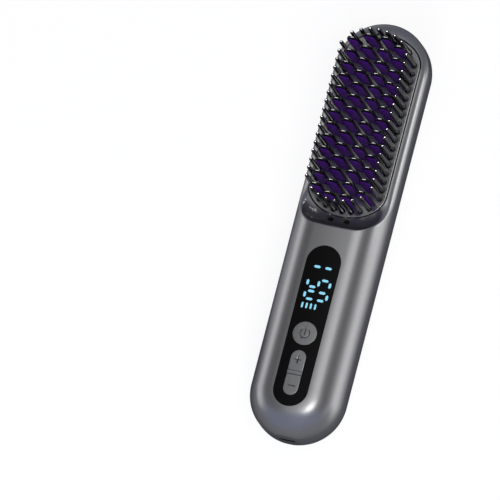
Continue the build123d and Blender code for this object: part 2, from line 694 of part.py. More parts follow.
def socket_outline(grow):
    """The charging socket's outline, seen along Y."""
    face = SlotOverall(SOCKET_WIDTH + 2 * grow, SOCKET_HEIGHT + 2 * grow)
    return Plane(origin=(0, FACET_Y, SOCKET_HEIGHT_UP), x_dir=(1, 0, 0), z_dir=(0, -1, 0)) * face


def tail_facet():
    """The block that trims the tail to a small flat."""
    height = HANDLE_DEPTH + OVERSHOOT
    return block(BODY_WIDTH, BODY_WIDTH, -OVERSHOOT, height, y=FACET_Y - BODY_WIDTH / 2)


def plug_recess(grow, depth):
    """A round-ended block in the left side of the neck, from the outside inwards."""
    side = -BODY_WIDTH / 2
    face = SlotOverall(PLUG_LENGTH + 2 * grow, PLUG_WIDTH + 2 * grow)
    plane = Plane(origin=(side, PLUG_Y, PLUG_HEIGHT), x_dir=(0, -1, 0), z_dir=(-1, 0, 0))
    return extrude(plane * face, -depth)


def along_x(radius, start, end):
    """A cylinder on the filling plug's axis, between two places along X."""
    return Pos((start + end) / 2, PLUG_Y, PLUG_HEIGHT) * Rot(0, 90, 0) * Cylinder(radius, end - start)


def filler_radius():
    """The outside of the tank's filling neck."""
    return SPIGOT_RADIUS + SPIGOT_GAP + FILLER_WALL


def front_shell():
    """The front half: handle face, neck cove and head rim, with its ledge, ribs and bosses."""
    outer = body_form(0, RIM_RADIUS)
    cavity = body_form(WALL)
    shell = outer - cavity
    ledge = plate_outline(PLATE_SEAM + LEDGE_WIDTH) - plate_outline(-LEDGE_WIDTH)
    shell -= prism(plate_outline(PLATE_SEAM), PLATE_UNDERSIDE, HANDLE_DEPTH)
    shell += prism(ledge, PLATE_UNDERSIDE - LEDGE_THICKNESS, PLATE_UNDERSIDE) & outer
    shell -= prism(plate_outline(-LEDGE_WIDTH), PARTING_HEIGHT, PLATE_UNDERSIDE)
    shell &= above(PARTING_HEIGHT)
    shell -= tail_facet()
    shell += tail_wall() & outer
    for x, y, seat, hang in shell_screw_places():
        shell += disc(BOSS_RADIUS, PARTING_HEIGHT, hang, x, y) & outer
        shell -= disc(SCREW_RADIUS + PILOT_GAP, 0, seat + SCREW_LENGTH + PILOT_SPARE, x, y)
    shell -= lip_ring(LIP_GAP)
    panel = capsule(PANEL_LENGTH + 2 * PANEL_GAP, PANEL_WIDTH + 2 * PANEL_GAP, PANEL_Y)
    shell -= prism(panel, PANEL_FLOOR, HANDLE_DEPTH + OVERSHOOT)
    openings = Pos(0, WINDOW_Y) * Rectangle(WINDOW_WIDTH, WINDOW_LENGTH)
    openings += power_outline(KEY_GAP)
    openings += pill_half(1, KEY_GAP)
    openings += pill_half(-1, KEY_GAP)
    shell -= prism(openings, CEILING - OVERSHOOT, PANEL_FLOOR)
    shell -= extrude(socket_outline(SOCKET_GAP), SOCKET_DEPTH, both=True)
    for side in (-1, 1):
        shell -= on_mist_axis(STEAM_HOLE_RADIUS, -2 * WALL, WALL, side * STEAM_HOLE_SPACING / 2)
    shell -= on_mist_axis(NOZZLE_RADIUS + SLOT_GAP, holder_floor(), NOZZLE_TOP + SLOT_GAP)
    shell -= plug_recess(PLUG_GAP, PLUG_THICKNESS)
    shell -= along_x(filler_radius() + PLUG_GAP, -BODY_WIDTH / 2, -BODY_WIDTH / 2 + 2 * WALL)
    return shell


def lip_ring(gap):
    """The locating lip, grown by gap: a thin ring above the parting line, open behind the socket."""
    ring = body_form(WALL - LIP_WALL - gap) - body_form(WALL + gap)
    low, high = PARTING_HEIGHT - OVERSHOOT, PARTING_HEIGHT + LIP_HEIGHT + gap
    width = TAIL_FACET_WIDTH + 2 * WALL - 2 * gap
    band = block(BODY_WIDTH, BODY_LENGTH, low, high)
    return ring & (band - block(width, BODY_WIDTH / 2, 0, HANDLE_DEPTH, y=TAIL_Y))


def tail_wall():
    """The wall behind the tail facet, as thick as the shell."""
    return block(TAIL_FACET_WIDTH, WALL, PARTING_HEIGHT, CEILING, y=FACET_Y + WALL / 2)


def rear_shell():
    """The shallow back half, with its locating lip, ribs, screw bosses and cell saddles."""
    outer = body_form(0)
    cavity = body_form(WALL)
    below = block(BODY_WIDTH, BODY_LENGTH, 0, PARTING_HEIGHT)
    shell = (outer - cavity) & below
    shell += lip_ring(0)
    shell -= tail_facet()
    for y in (-TRAY_POST_Y, 0, TRAY_POST_Y):
        rib = block(BODY_WIDTH, TRAY_WALL, WALL / 2, TRAY_FLOOR, y=COMB_Y + y)
        shell += rib & body_form(WALL / 2) & block(2 * PIN_SIDE_X, BODY_LENGTH, 0, TRAY_FLOOR)
    for x, y, seat, _ in shell_screw_places():
        shell += disc(BOSS_RADIUS, WALL / 2, PARTING_HEIGHT, x, y) & outer
        shell -= disc(SCREW_HEAD_RADIUS + SLOT_GAP, -OVERSHOOT, seat, x, y)
        shell -= disc(SCREW_RADIUS + SLOT_GAP, 0, PARTING_HEIGHT + OVERSHOOT, x, y)
    return shell


def shell_screws():
    screw = disc(SCREW_HEAD_RADIUS, -SCREW_HEAD_HEIGHT, 0) + disc(SCREW_RADIUS, 0, SCREW_LENGTH)
    return [Pos(x, y, seat) * screw for x, y, seat, _ in shell_screw_places()]


# --- Battery, boards and socket --------------------------------------------------------------

def cell_axis(side):
    return side * CELL_SPACING / 2, CELL_FLOOR + CELL_RADIUS


def battery_cells():
    cells = []
    for side in (-1, 1):
        x, z = cell_axis(side)
        cell = Pos(x, CELL_Y, z) * Rot(90, 0, 0) * Cylinder(CELL_RADIUS, CELL_LENGTH)
        cells.append(chamfer(cell.edges(), CELL_CHAMFER))
    return cells


def battery_cradle():
    """Two saddles and their spine: they hold the cells from below and carry the main board."""
    width = CELL_SPACING + 2 * CELL_RADIUS - 2 * WALL
    cradle = None
    for y in (-CRADLE_SPAN / 2, CRADLE_SPAN / 2):
        saddle = block(width, CRADLE_WIDTH, WALL, BOARD_UNDERSIDE, y=CELL_Y + y)
        cradle = saddle if cradle is None else cradle + saddle
    cradle += block(CRADLE_SPINE_WIDTH, CRADLE_SPAN, WALL, CRADLE_SPINE_TOP, y=CELL_Y)
    for side in (-1, 1):
        x, z = cell_axis(side)
        cradle -= Pos(x, CELL_Y, z) * Rot(90, 0, 0) * Cylinder(CELL_RADIUS + CRADLE_GAP, 2 * CELL_LENGTH)
    return cradle & body_form(WALL)


def battery_tabs():
    """Nickel strips: one joins the cells at the head end, two lead off at the tail end."""
    height = CELL_FLOOR + CELL_RADIUS
    low, high = height - TAB_HEIGHT / 2, height + TAB_HEIGHT / 2
    head_y = CELL_Y + CELL_LENGTH / 2 + TAB_THICKNESS / 2
    tail_y = CELL_Y - CELL_LENGTH / 2 - TAB_THICKNESS / 2
    tabs = [block(CELL_SPACING + TAB_HEIGHT, TAB_THICKNESS, low, high, y=head_y)]
    for side in (-1, 1):
        x = cell_axis(side)[0]
        tabs.append(block(TAB_HEIGHT, TAB_THICKNESS, low, high, x=x, y=tail_y))
    return tabs


def main_board():
    return block(BOARD_WIDTH, BOARD_LENGTH, BOARD_UNDERSIDE, BOARD_TOP, y=BOARD_Y)


def tactile_switches():
    """Square switches under the keys, each with a round actuator."""
    body = block(SWITCH_SIZE, SWITCH_SIZE, BOARD_TOP, SWITCH_TOP - SWITCH_STUD)
    switch = body + disc(KEY_STEM_RADIUS, SWITCH_TOP - SWITCH_STUD, SWITCH_TOP)
    return [Pos(0, y, 0) * switch for y in (POWER_Y, pill_centre(1), pill_centre(-1))]


def usb_socket():
    """The steel receptacle shell with its contact tongue."""
    shell = extrude(socket_outline(0), -SOCKET_DEPTH)
    hollow = extrude(socket_outline(-SOCKET_SHELL), -(SOCKET_DEPTH - SOCKET_SHELL))
    tongue_y = FACET_Y + SOCKET_DEPTH - SOCKET_SHELL - TONGUE_LENGTH / 2
    low, high = SOCKET_HEIGHT_UP - TONGUE_THICKNESS / 2, SOCKET_HEIGHT_UP + TONGUE_THICKNESS / 2
    tongue = block(TONGUE_WIDTH, TONGUE_LENGTH + SOCKET_SHELL, low, high, y=tongue_y)
    return shell - hollow + tongue


def charge_board():
    top = SOCKET_HEIGHT_UP - SOCKET_HEIGHT / 2
    centre_y = FACET_Y + WALL + CHARGE_BOARD_GAP + CHARGE_BOARD_LENGTH / 2
    return block(CHARGE_BOARD_WIDTH, CHARGE_BOARD_LENGTH, top - CHARGE_BOARD_THICKNESS, top, y=centre_y)


# --- Water and mist --------------------------------------------------------------------------

def tank_profile(inset):
    """The tank's side outline, in the YZ plane: a tall back part and a low foot."""
    low, foot, top = TANK_FLOOR + inset, TANK_FOOT_TOP - inset, TANK_TOP - inset
    back, step, front = TANK_BACK_Y, TANK_STEP_Y - inset, TANK_FRONT_Y - inset
    corners = [(back, low), (front, low), (front, foot), (step, foot), (step, top), (back, top)]
    return Plane.YZ * make_face(Polyline(corners, close=True))


def water_tank():
    """The moulded tank, open at the back end, with its wick port and filling neck."""
    outer = extrude(tank_profile(0), TANK_WIDTH / 2, both=True)
    inner = extrude(tank_profile(TANK_WALL), TANK_WIDTH / 2 - TANK_WALL, both=True)
    tank = (outer & body_form(WALL + PLUG_GAP)) - (inner & body_form(WALL + PLUG_GAP + TANK_WALL))
    tank += along_x(filler_radius(), PLUG_SEAT_X, -TANK_WIDTH / 2 + TANK_WALL)
    bore = SPIGOT_RADIUS + SPIGOT_GAP
    tank -= along_x(bore, PLUG_SEAT_X - OVERSHOOT, -TANK_WIDTH / 2 + TANK_WALL + OVERSHOOT)
    tank -= on_mist_axis(NOZZLE_RADIUS + WICK_GAP, holder_floor() - WICK_GAP, 0)
    return tank - on_mist_axis(WICK_RADIUS + WICK_GAP, holder_floor() - WICK_LENGTH, 0)


def tank_lid():
    """The welded end plate of the tank."""
    plate = extrude(tank_profile(0), TANK_WIDTH / 2, both=True)
    plate &= block(BODY_WIDTH, TANK_WALL, 0, HANDLE_DEPTH, y=TANK_BACK_Y + TANK_WALL / 2)
    lid = Pos(0, -TANK_WALL, 0) * plate
    return lid & body_form(WALL + PLUG_GAP)


def gasket_floor():
    return NOZZLE_TOP - NOZZLE_LENGTH - GASKET_THICKNESS


def holder_floor():
    return gasket_floor() - HOLDER_THICKNESS


def mist_nozzle():
    """The chamber behind the cove: a cup with two outlets that line up with the steam holes."""
    cup = on_mist_axis(NOZZLE_RADIUS, NOZZLE_TOP - NOZZLE_LENGTH, NOZZLE_TOP)
    cup -= on_mist_axis(CHAMBER_RADIUS, NOZZLE_TOP - NOZZLE_LENGTH, NOZZLE_TOP - NOZZLE_LENGTH / 2)
    for side in (-1, 1):
        cup -= on_mist_axis(STEAM_HOLE_RADIUS, -GASKET_RADIUS, 0, side * STEAM_HOLE_SPACING / 2)
    return cup


def atomizer_disc():
    middle = gasket_floor() + GASKET_THICKNESS / 2
    return on_mist_axis(DISC_RADIUS, middle - DISC_THICKNESS / 2, middle + DISC_THICKNESS / 2)


def atomizer_gasket():
    """The silicone ring that grips the disc's rim."""
    ring = on_mist_axis(GASKET_RADIUS, gasket_floor(), NOZZLE_TOP - NOZZLE_LENGTH)
    ring -= on_mist_axis(CHAMBER_RADIUS, gasket_floor() - OVERSHOOT, 0)
    return ring - atomizer_disc()


def atomizer_holder():
    """The ring that presses the gasket against the nozzle and guides the wick."""
    ring = on_mist_axis(NOZZLE_RADIUS, holder_floor(), gasket_floor())
    return ring - on_mist_axis(WICK_RADIUS + WICK_GAP, holder_floor() - OVERSHOOT, 0)


def wick():
    middle = gasket_floor() + (GASKET_THICKNESS - DISC_THICKNESS) / 2
    return on_mist_axis(WICK_RADIUS, holder_floor() - WICK_LENGTH + TANK_WALL, middle)


def fill_plug():
    """The silicone plug: a flush round-ended head and a spigot that seals the filling neck."""
    head = plug_recess(0, PLUG_THICKNESS)
    return head + along_x(SPIGOT_RADIUS, PLUG_SEAT_X - PLUG_THICKNESS / 2, PLUG_SEAT_X + SPIGOT_LENGTH)


PIECES = {
    "front_shell": front_shell,
    "rear_shell": rear_shell,
    "shell_screws": shell_screws,
    "comb_plate": comb_plate,
    "heating_plate": heating_plate,
    "fin_caps": fin_caps,
    "guard_pins": guard_pins,
    "pin_carrier": pin_carrier,
    "heater_element": heater_element,
    "mica_sheet": mica_sheet,
    "heater_clamp": heater_clamp,
    "clamp_screws": clamp_screws,
    "thermistor": thermistor,
    "thermal_fuse": thermal_fuse,
    "heat_tray": heat_tray,
    "control_panel": control_panel,
    "display_segments": display_segments,
    "display_module": display_module,
    "power_button": power_button,
    "plus_key": lambda: pill_key(1),
    "minus_key": lambda: pill_key(-1),
    "key_divider": key_divider,
    "tactile_switches": tactile_switches,
    "main_board": main_board,
    "battery_cells": battery_cells,
    "battery_cradle": battery_cradle,
    "battery_tabs": battery_tabs,
    "usb_socket": usb_socket,
    "charge_board": charge_board,
    "water_tank": water_tank,
    "tank_lid": tank_lid,
    "mist_nozzle": mist_nozzle,
    "atomizer_disc": atomizer_disc,
    "atomizer_gasket": atomizer_gasket,
    "atomizer_holder": atomizer_holder,
    "wick": wick,
    "fill_plug": fill_plug,
}

os.makedirs("parts", exist_ok=True)
for name, make in PIECES.items():
    piece = make()
    if isinstance(piece, list):
        piece = Compound(children=piece)
    piece.label = name
    export_step(piece, os.path.join("parts", name + ".step"))
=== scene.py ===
import math

import bmesh
import bpy
import numpy as np
from mathutils import Matrix, Vector


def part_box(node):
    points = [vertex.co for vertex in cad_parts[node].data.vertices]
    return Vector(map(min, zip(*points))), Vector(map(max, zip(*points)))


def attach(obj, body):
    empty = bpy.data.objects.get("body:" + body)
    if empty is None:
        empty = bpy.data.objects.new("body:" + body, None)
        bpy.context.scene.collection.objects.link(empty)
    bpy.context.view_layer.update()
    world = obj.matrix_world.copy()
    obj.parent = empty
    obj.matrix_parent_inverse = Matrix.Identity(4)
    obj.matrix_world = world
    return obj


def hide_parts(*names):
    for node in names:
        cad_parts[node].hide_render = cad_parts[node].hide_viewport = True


# A cordless steam hair straightener brush, lying on its back on a white table.
# Frame as in the solid model: +X to the right, +Y towards the head, +Z out of the comb.
# Lengths are in millimetres until a mesh is made, and in metres from there on.

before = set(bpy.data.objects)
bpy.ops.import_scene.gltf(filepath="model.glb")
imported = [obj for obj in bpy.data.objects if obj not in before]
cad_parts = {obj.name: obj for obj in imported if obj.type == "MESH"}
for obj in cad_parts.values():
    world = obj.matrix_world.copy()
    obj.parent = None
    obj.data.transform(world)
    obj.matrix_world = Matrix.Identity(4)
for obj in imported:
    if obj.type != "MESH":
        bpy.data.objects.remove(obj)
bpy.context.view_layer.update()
MM = 0.001


def box_mm(node):
    """A node's lowest and highest corner, in millimetres."""
    low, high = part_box(node)
    return np.array(low) / MM, np.array(high) / MM


# --- Sizes, read from the solids where they give them -----------------------------------------

SHELL_LOW, SHELL_HIGH = box_mm("front_shell")
PLATE_LOW, PLATE_HIGH = box_mm("comb_plate")
CAPS_LOW, CAPS_HIGH = box_mm("fin_caps")
PINS_LOW, PINS_HIGH = box_mm("guard_pins")
PANEL_LOW, PANEL_HIGH = box_mm("control_panel")
SOCKET_LOW, SOCKET_HIGH = box_mm("usb_socket")
PLUG_LOW, PLUG_HIGH = box_mm("fill_plug")

HALF_WIDTH = SHELL_HIGH[0]
DEPTH = SHELL_HIGH[2]
HEAD_LEVEL = PLATE_HIGH[2]
PARTING = SHELL_LOW[2]
TIP_Y = SHELL_HIGH[1]
SPINE = TIP_Y - HALF_WIDTH  # half the straight part of the body's outline
EDGE = 14.0
WALL = 2.0

# The neck cove.
LIP_Y = -0.9
COVE_SLOPE = math.radians(27.0)
COVE_RADIUS = 8.5
COVE_FLAT = 18.0
COVE_CORNER = 13.1
COVE_FLARE = math.radians(28.0)
COVE_FOOT_Y = LIP_Y + (DEPTH - HEAD_LEVEL) * math.tan(COVE_SLOPE)
LIP_ROUND = 0.7
RIM_ROUND = 7.5
RIM_SMALLEST = 0.4
RIM_START_Y = 2.0  # from here the rim's round grows towards the head, over RIM_BLEND
RIM_BLEND = 16.0
RIM_LEAN = 0.35
CROWN_RADIUS = 150.0
STEAM_TILT = math.radians(52.0)
STEAM_RADIUS = 1.5
STEAM_SPACING = 8.0

# Clearances round the pieces that stand in the front shell and in the comb plate.
PANEL_GAP = 0.05
SOCKET_GAP = 0.08
PLUG_GAP = 0.1
SLOT_GAP = 0.1
PIN_HOLE_GAP = 0.05

# The comb.
COMB_Y = (PLATE_LOW[1] + PLATE_HIGH[1]) / 2
PLATE_HALF = PLATE_HIGH[0]
PLATE_REACH = (PLATE_HIGH[1] - PLATE_LOW[1]) / 2
PLATE_END = 13.4
PLATE_BEVEL = 0.35
SEAM = 0.55
TOOTH_PITCH = 6.1
TOOTH_WIDTH = 5.8
TOOTH_COLUMNS = ((-11.65, 13), (-4.25, 14), (4.25, 14), (11.65, 13))
CAP_THICKNESS = 1.5
CAP_BAND = 0.35
CAP_CROWN = 1.4
CAP_SHOULDER = 2.3
CAP_ARCH = 0.5
CAP_EDGE_LEG = 0.2
CAP_EDGE_CROWN = 0.68
CAP_SOFTENING = 3.0  # how far below the crown the cap's edges have become as crisp as the legs'
FIN_THICKNESS = 1.3
FIN_CORNER = 1.95
FIN_SINK = 0.1  # how far the blades reach down past the caps' feet
FIN_STUB = 0.5  # how much of the solid's own fins is left above the caps' feet
PIN_SIDE_X = 16.3
PIN_PITCH = 4.19
PINS_PER_SIDE = 17
PIN_END_INSET = 2.6
PIN_END_PITCH = 4.25
PINS_PER_HALF_END = 3
PIN_ROOT = 1.45
PIN_TIP = 1.0
PIN_COLLAR = 0.35
PIN_COLLAR_STEP = 0.08
PIN_COLLAR_SLOPE = 0.12

# The control strip.
KEY_RISE = 0.5
CROWN_STRIP = 0.6  # the width of the strips in which a piece is bent to the crown
SIGN_STROKE = 0.42
SIGN_DEPTH = 0.15
POWER_RADIUS = 2.35
POWER_HALF_OPENING = 40  # degrees
POWER_STROKE_RISE = 0.85
POWER_STROKE_REACH = 1.55
PLUS_REACH = 1.8
MINUS_REACH = 1.75


# --- Colours and nodes ------------------------------------------------------------------------

RGBA = {"data_type": "RGBA"}
SOFT = {"interpolation_type": "SMOOTHSTEP"}
PRODUCT = {"operation": "MULTIPLY"}
LARGER = {"operation": "MAXIMUM"}
SUM = {"operation": "ADD"}


def linear(code):
    """An sRGB hex colour as linear red, green, blue and alpha."""
    channels = [int(code[n:n + 2], 16) / 255 for n in (1, 3, 5)]
    return tuple(c / 12.92 if c <= 0.04045 else ((c + 0.055) / 1.055) ** 2.4 for c in channels) + (1.0,)


def node(tree, kind, settings=None, **links):
    """Adds a node. settings sets its own fields, and each link sets or feeds the input of that name."""
    made = tree.nodes.new("ShaderNode" + kind)
    for name, value in (settings or {}).items():
        setattr(made, name, value)
    for name, value in links.items():
        by_index = name[0] == "i" and name[1:].isdigit()
        socket = made.inputs[int(name[1:]) if by_index else name.replace("_", " ")]
        if isinstance(value, bpy.types.NodeSocket):
            tree.links.new(value, socket)
        else:
            socket.default_value = value
    return made


def surface(name, colour, roughness, metallic=0.0, **more):
    """A material with one Principled shader. Returns the material, its tree and the shader."""
    made = bpy.data.materials.new(name)
    made.use_nodes = True
    tree = made.node_tree
    tree.nodes.clear()
    shader = node(
        tree, "BsdfPrincipled", Base_Color=linear(colour), Roughness=roughness, Metallic=metallic, **more
    )
    node(tree, "OutputMaterial", Surface=shader.outputs["BSDF"])
    return made, tree, shader


def place_mm(tree):
    """The place on the object, in millimetres."""
    spot = node(tree, "TexCoord").outputs["Object"]
    return node(tree, "VectorMath", {"operation": "SCALE"}, i0=spot, Scale=1 / MM).outputs["Vector"]


def grain(tree, shader, size_mm, roughness_swing, height_mm):
    """Fine unevenness: it stirs the roughness a little and bumps the surface by height_mm."""
    noise = node(tree, "TexNoise", Vector=place_mm(tree), Scale=1 / size_mm, Detail=2.0)
    middle = shader.inputs["Roughness"].default_value
    spread = node(
        tree, "MapRange", Value=noise.outputs["Fac"],
        To_Min=middle - roughness_swing, To_Max=middle + roughness_swing,
    )
    tree.links.new(spread.outputs["Result"], shader.inputs["Roughness"])
    bump = node(tree, "Bump", Height=noise.outputs["Fac"], Distance=height_mm * MM, Strength=1.0)
    tree.links.new(bump.outputs["Normal"], shader.inputs["Normal"])


def speckle(tree, shader, size_mm, dark, light):
    """Colour that wanders between two close shades."""
    noise = node(tree, "TexNoise", Vector=place_mm(tree), Scale=1 / size_mm, Detail=3.0)
    mix = node(tree, "Mix", RGBA, Factor=noise.outputs["Fac"], i6=linear(dark), i7=linear(light))
    tree.links.new(mix.outputs[2], shader.inputs["Base Color"])


# --- Materials --------------------------------------------------------------------------------

def metallic_lacquer(name, roughness):
    """Grey metallic lacquer sprayed on moulded ABS: wide reflections, darker where it turns away."""
    made, tree, shader = surface(
        name, "#B5B5B6", roughness, metallic=0.88, Specular_Tint=linear("#5E6276")
    )
    speckle(tree, shader, 0.25, "#AFAFB0", "#BBBBBC")
    grain(tree, shader, 0.18, 0.02, 0.0006)
    return made


def black_nylon(name, roughness, specular):
    """Glass-filled nylon: deep black. The smoother the tool that moulds it, the sharper its highlights."""
    made, tree, shader = surface(name, "#030304", roughness, Specular_IOR_Level=specular)
    speckle(tree, shader, 0.8, "#020203", "#050506")
    grain(tree, shader, 0.35, 0.2 * roughness, 0.0008)
    return made


def purple_ceramic_coating():
    """Ceramic coating sprayed and baked on die-cast aluminium: deep even purple with a soft sheen."""
    made, tree, shader = surface("purple_ceramic_coating", "#52188A", 0.45, Specular_IOR_Level=0.2)
    speckle(tree, shader, 0.6, "#4D1682", "#5A1B93")
    grain(tree, shader, 0.25, 0.05, 0.003)
    return made


def gloss_black_acrylic():
    """Acrylic panel back-printed in black: flat, hard and very even."""
    made, tree, shader = surface("gloss_black_acrylic", "#0B0B0C", 0.24, Specular_IOR_Level=0.15)
    grain(tree, shader, 2.5, 0.015, 0.0003)
    return made


def cyan_light_guide():
    """Clear light guides lit from below by cyan diodes: they glow almost evenly, in soft patches."""
    made, tree, shader = surface("cyan_light_guide", "#86CBE2", 0.3)
    noise = node(tree, "TexNoise", Vector=place_mm(tree), Scale=0.5)
    glow = node(tree, "MapRange", Value=noise.outputs["Fac"], To_Min=0.48, To_Max=0.60)
    shader.inputs["Emission Color"].default_value = linear("#8CD2EA")
    tree.links.new(glow.outputs["Result"], shader.inputs["Emission Strength"])
    return made


def painted_keys():
    """Light grey satin lacquer on moulded keys: even, soft highlights on the rounded edges."""
    made, tree, shader = surface("painted_keys", "#B4B4B5", 0.36, metallic=1.0)
    speckle(tree, shader, 0.9, "#A6A6A7", "#BEBEBF")
    grain(tree, shader, 0.2, 0.02, 0.001)
    return made


def plain_finish(name, dark, light, roughness, size_mm, height_mm, metallic=0.0, **more):
    """A finish of two close shades with fine unevenness, for the pieces inside."""
    made, tree, shader = surface(name, dark, roughness, metallic, **more)
    speckle(tree, shader, size_mm, dark, light)
    grain(tree, shader, size_mm / 2, 0.04, height_mm)
    return made


# The body's lacquer: satin, with soft wide reflections.
lacquer = metallic_lacquer("satin_metallic_lacquer", 0.29)
# The comb's plate has the same lacquer over a smoother moulding: its reflections are sharper.
plate_lacquer = metallic_lacquer("smooth_metallic_lacquer", 0.17)
# The caps' crowns, polished in the tool: black with small sharp highlights.
nylon = black_nylon("polished_black_nylon", 0.11, 0.2)
# The caps' legs, left matt by the tool: black that hardly shines.
leg_nylon = black_nylon("matt_black_nylon", 0.5, 0.15)
# The guard pins, polished all over: black with a clear gloss.
pin_nylon = black_nylon("glossy_black_pin_nylon", 0.13, 1.0)
purple = purple_ceramic_coating()
acrylic = gloss_black_acrylic()
cyan = cyan_light_guide()
keys_paint = painted_keys()
# Dark ink filled into the engraved signs.
ink = plain_finish("engraving_ink", "#3A3A3C", "#444446", 0.5, 0.3, 0.001)
# Zinc-plated steel: bright and slightly milky, turned or pressed.
zinc = plain_finish("zinc_plated_steel", "#C9CACB", "#D6D7D8", 0.3, 0.5, 0.002, metallic=1.0)
# Deep-drawn nickel-plated shell of the socket: smooth, in a darker tone that is painted shade for its inside.
nickel_with_painted_shade = plain_finish("nickel_plate_with_painted_shade", "#8C8A85", "#9A9892", 0.25, 0.8, 0.001, metallic=1.0)
# Pressed mica: silvery tan with small flakes.
mica = plain_finish("pressed_mica", "#8A7A5C", "#B3A27E", 0.4, 1.2, 0.01)
# Aluminium foil wrapped round the heating ceramic: bright, slightly creased.
foil = plain_finish("heater_foil", "#C8C9CB", "#E2E3E4", 0.32, 3.0, 0.03, metallic=1.0)
# Epoxy dip over the sensor bead: dark brown and glossy.
epoxy = plain_finish("sensor_epoxy", "#2A1A0E", "#3A2716", 0.2, 1.0, 0.01)
# Matt black glass-filled plastic: faint fibre texture. On the walls of the comb's seam and the steam holes it
# also stands as painted shade that makes these gaps read dark.
matt_black_and_painted_shade = plain_finish("matt_black_pbt_and_painted_shade", "#1B1B1C", "#242425", 0.6, 0.5, 0.006)
# Green solder mask over glass-fibre board: semi-gloss with a faint weave.
solder_mask = plain_finish("solder_mask_green", "#0E4A2A", "#14583A", 0.35, 0.6, 0.004)
# Black housing of the tact switches: moulded, semi-matt.
switch_case = plain_finish("switch_housing", "#1A1A1A", "#222222", 0.5, 0.4, 0.003)
# Blue shrink sleeve over the cells: smooth PVC with small wrinkles.
sleeve = plain_finish("blue_shrink_sleeve", "#22508F", "#2A5EA6", 0.3, 4.0, 0.02)
# Milky polypropylene of the tank: waxy and slightly see-through.
polypropylene = plain_finish("milky_polypropylene", "#C6CBCE", "#D3D8DA", 0.4, 2.0, 0.004)
# Grey silicone: soft, matt, with a dusty look.
silicone = plain_finish("grey_silicone", "#5A5B5F", "#636468", 0.62, 0.6, 0.004)
# Piezo ceramic with its fired silver: pale gold, fine grain.
piezo = plain_finish("piezo_ceramic", "#C9B47C", "#D8C48E", 0.35, 0.3, 0.002, metallic=1.0)
# Pressed cotton fibre of the wick: fuzzy and off-white.
cotton = plain_finish("wick_cotton", "#D8D5CB", "#E9E6DD", 0.9, 0.25, 0.05)


# --- Meshes -----------------------------------------------------------------------------------

def as_piece(name, mesh, body, slot, material, *replaced, sharp=35.0, flat_faces=False):
    """Puts a mesh into the scene as a piece of the object, smooth except at sharp edges. flat_faces
    keeps large faces flat where they meet small rounded edges."""
    mesh.shade_smooth()
    mesh.set_sharp_from_angle(angle=math.radians(sharp))
    made = bpy.data.objects.new(name, mesh)
    bpy.context.scene.collection.objects.link(made)
    if not mesh.materials:
        mesh.materials.append(material)
    if flat_faces:
        even = made.modifiers.new("even_normals", "WEIGHTED_NORMAL")
        even.keep_sharp = True
        even.weight = 100
    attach(made, body)
    if replaced:
        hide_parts(*replaced)
    return made


def mesh_from(name, points_mm, faces):
    """A mesh from points in millimetres and faces."""
    made = bpy.data.meshes.new(name)
    made.from_pydata([tuple(p) for p in np.asarray(points_mm) * MM], [], [tuple(f) for f in faces])
    made.validate()
    made.update()
    return made


def join(parts):
    """Joins (points, faces) pairs into one pair."""
    points, faces, start = [], [], 0
    for part_points, part_faces in parts:
        points.append(np.asarray(part_points, float))
        faces += [tuple(start + i for i in face) for face in part_faces]
        start += len(part_points)
    return np.concatenate(points), faces


def copies(points, faces, places):
    """A form repeated at each place in the plan, as one (points, faces) pair."""
    return join([(points + np.array([x, y, 0]), faces) for x, y in places])


def prism_faces(count):
    """A prism's two ends and its sides, for count points at one end and then count at the other."""
    ends = [tuple(range(count))[::-1], tuple(range(count, 2 * count))]
    return ends + [(i, (i + 1) % count, count + (i + 1) % count, count + i) for i in range(count)]


def band_faces(rings, count):
    """The faces between closed rings of count points each."""
    faces = []
    for ring in range(rings - 1):
        for i in range(count):
            a, b = ring * count + i, ring * count + (i + 1) % count
            faces.append((a, b, b + count, a + count))
    return faces


def end_faces(rings, count):
    """The first ring and the last one, closed."""
    return [tuple(range(count))[::-1], tuple((rings - 1) * count + i for i in range(count))]


def prism(outline, low, high):
    """A closed prism over a plan outline that runs counter-clockwise."""
    points = [(x, y, z) for z in (low, high) for x, y in outline]
    return np.array(points, float), prism_faces(len(outline))


def arc(centre, radius, start, end, steps):
    """Points on an arc, with its angles in degrees."""
    angles = np.radians(np.linspace(start, end, steps + 1))
    return [(centre[0] + radius * math.cos(a), centre[1] + radius * math.sin(a)) for a in angles]


def stadium(half_length, half_width, y, steps=32):
    """A round-ended outline that lies along Y."""
    run = half_length - half_width
    return arc((0, y + run), half_width, 0, 180, steps) + arc((0, y - run), half_width, 180, 360, steps)


def circle(x, y, radius, steps):
    """A round outline."""
    return arc((x, y), radius, 0, 360, steps)[:-1]


def plate_outline(grow, steps=48):
    """The comb plate's outline: straight sides and half-elliptical ends."""
    straight = PLATE_REACH - PLATE_END
    outline = []
    for side in (1, -1):
        for n in range(steps + 1):
            angle = math.pi * n / steps + (0 if side > 0 else math.pi)
            x = (PLATE_HALF + grow) * math.cos(angle)
            outline.append((x, COMB_Y + side * straight + (PLATE_END + grow) * math.sin(angle)))
    return outline


def cut(target, cutters):
    """Cuts the cutters' solids, given as (points, faces) pairs with a material, out of a mesh."""
    holder = bpy.data.objects.new("cut_target", target)
    bpy.context.scene.collection.objects.link(holder)
    tools = []
    for points, faces, material in cutters:
        mesh = mesh_from("cutter", points, faces)
        if material:
            mesh.materials.append(material)
        tool = bpy.data.objects.new("cutter", mesh)
        bpy.context.scene.collection.objects.link(tool)
        tools.append(tool)
        step = holder.modifiers.new("cut", "BOOLEAN")
        step.operation = "DIFFERENCE"
        step.object = tool
        step.solver = "EXACT"
        step.material_mode = "TRANSFER"
    bpy.context.view_layer.update()
    result = bpy.data.meshes.new_from_object(holder.evaluated_get(bpy.context.evaluated_depsgraph_get()))
    for thing in [holder] + tools:
        bpy.data.objects.remove(thing)
    return result


# --- The body's form, as distances to its surfaces (negative inside the material) --------------

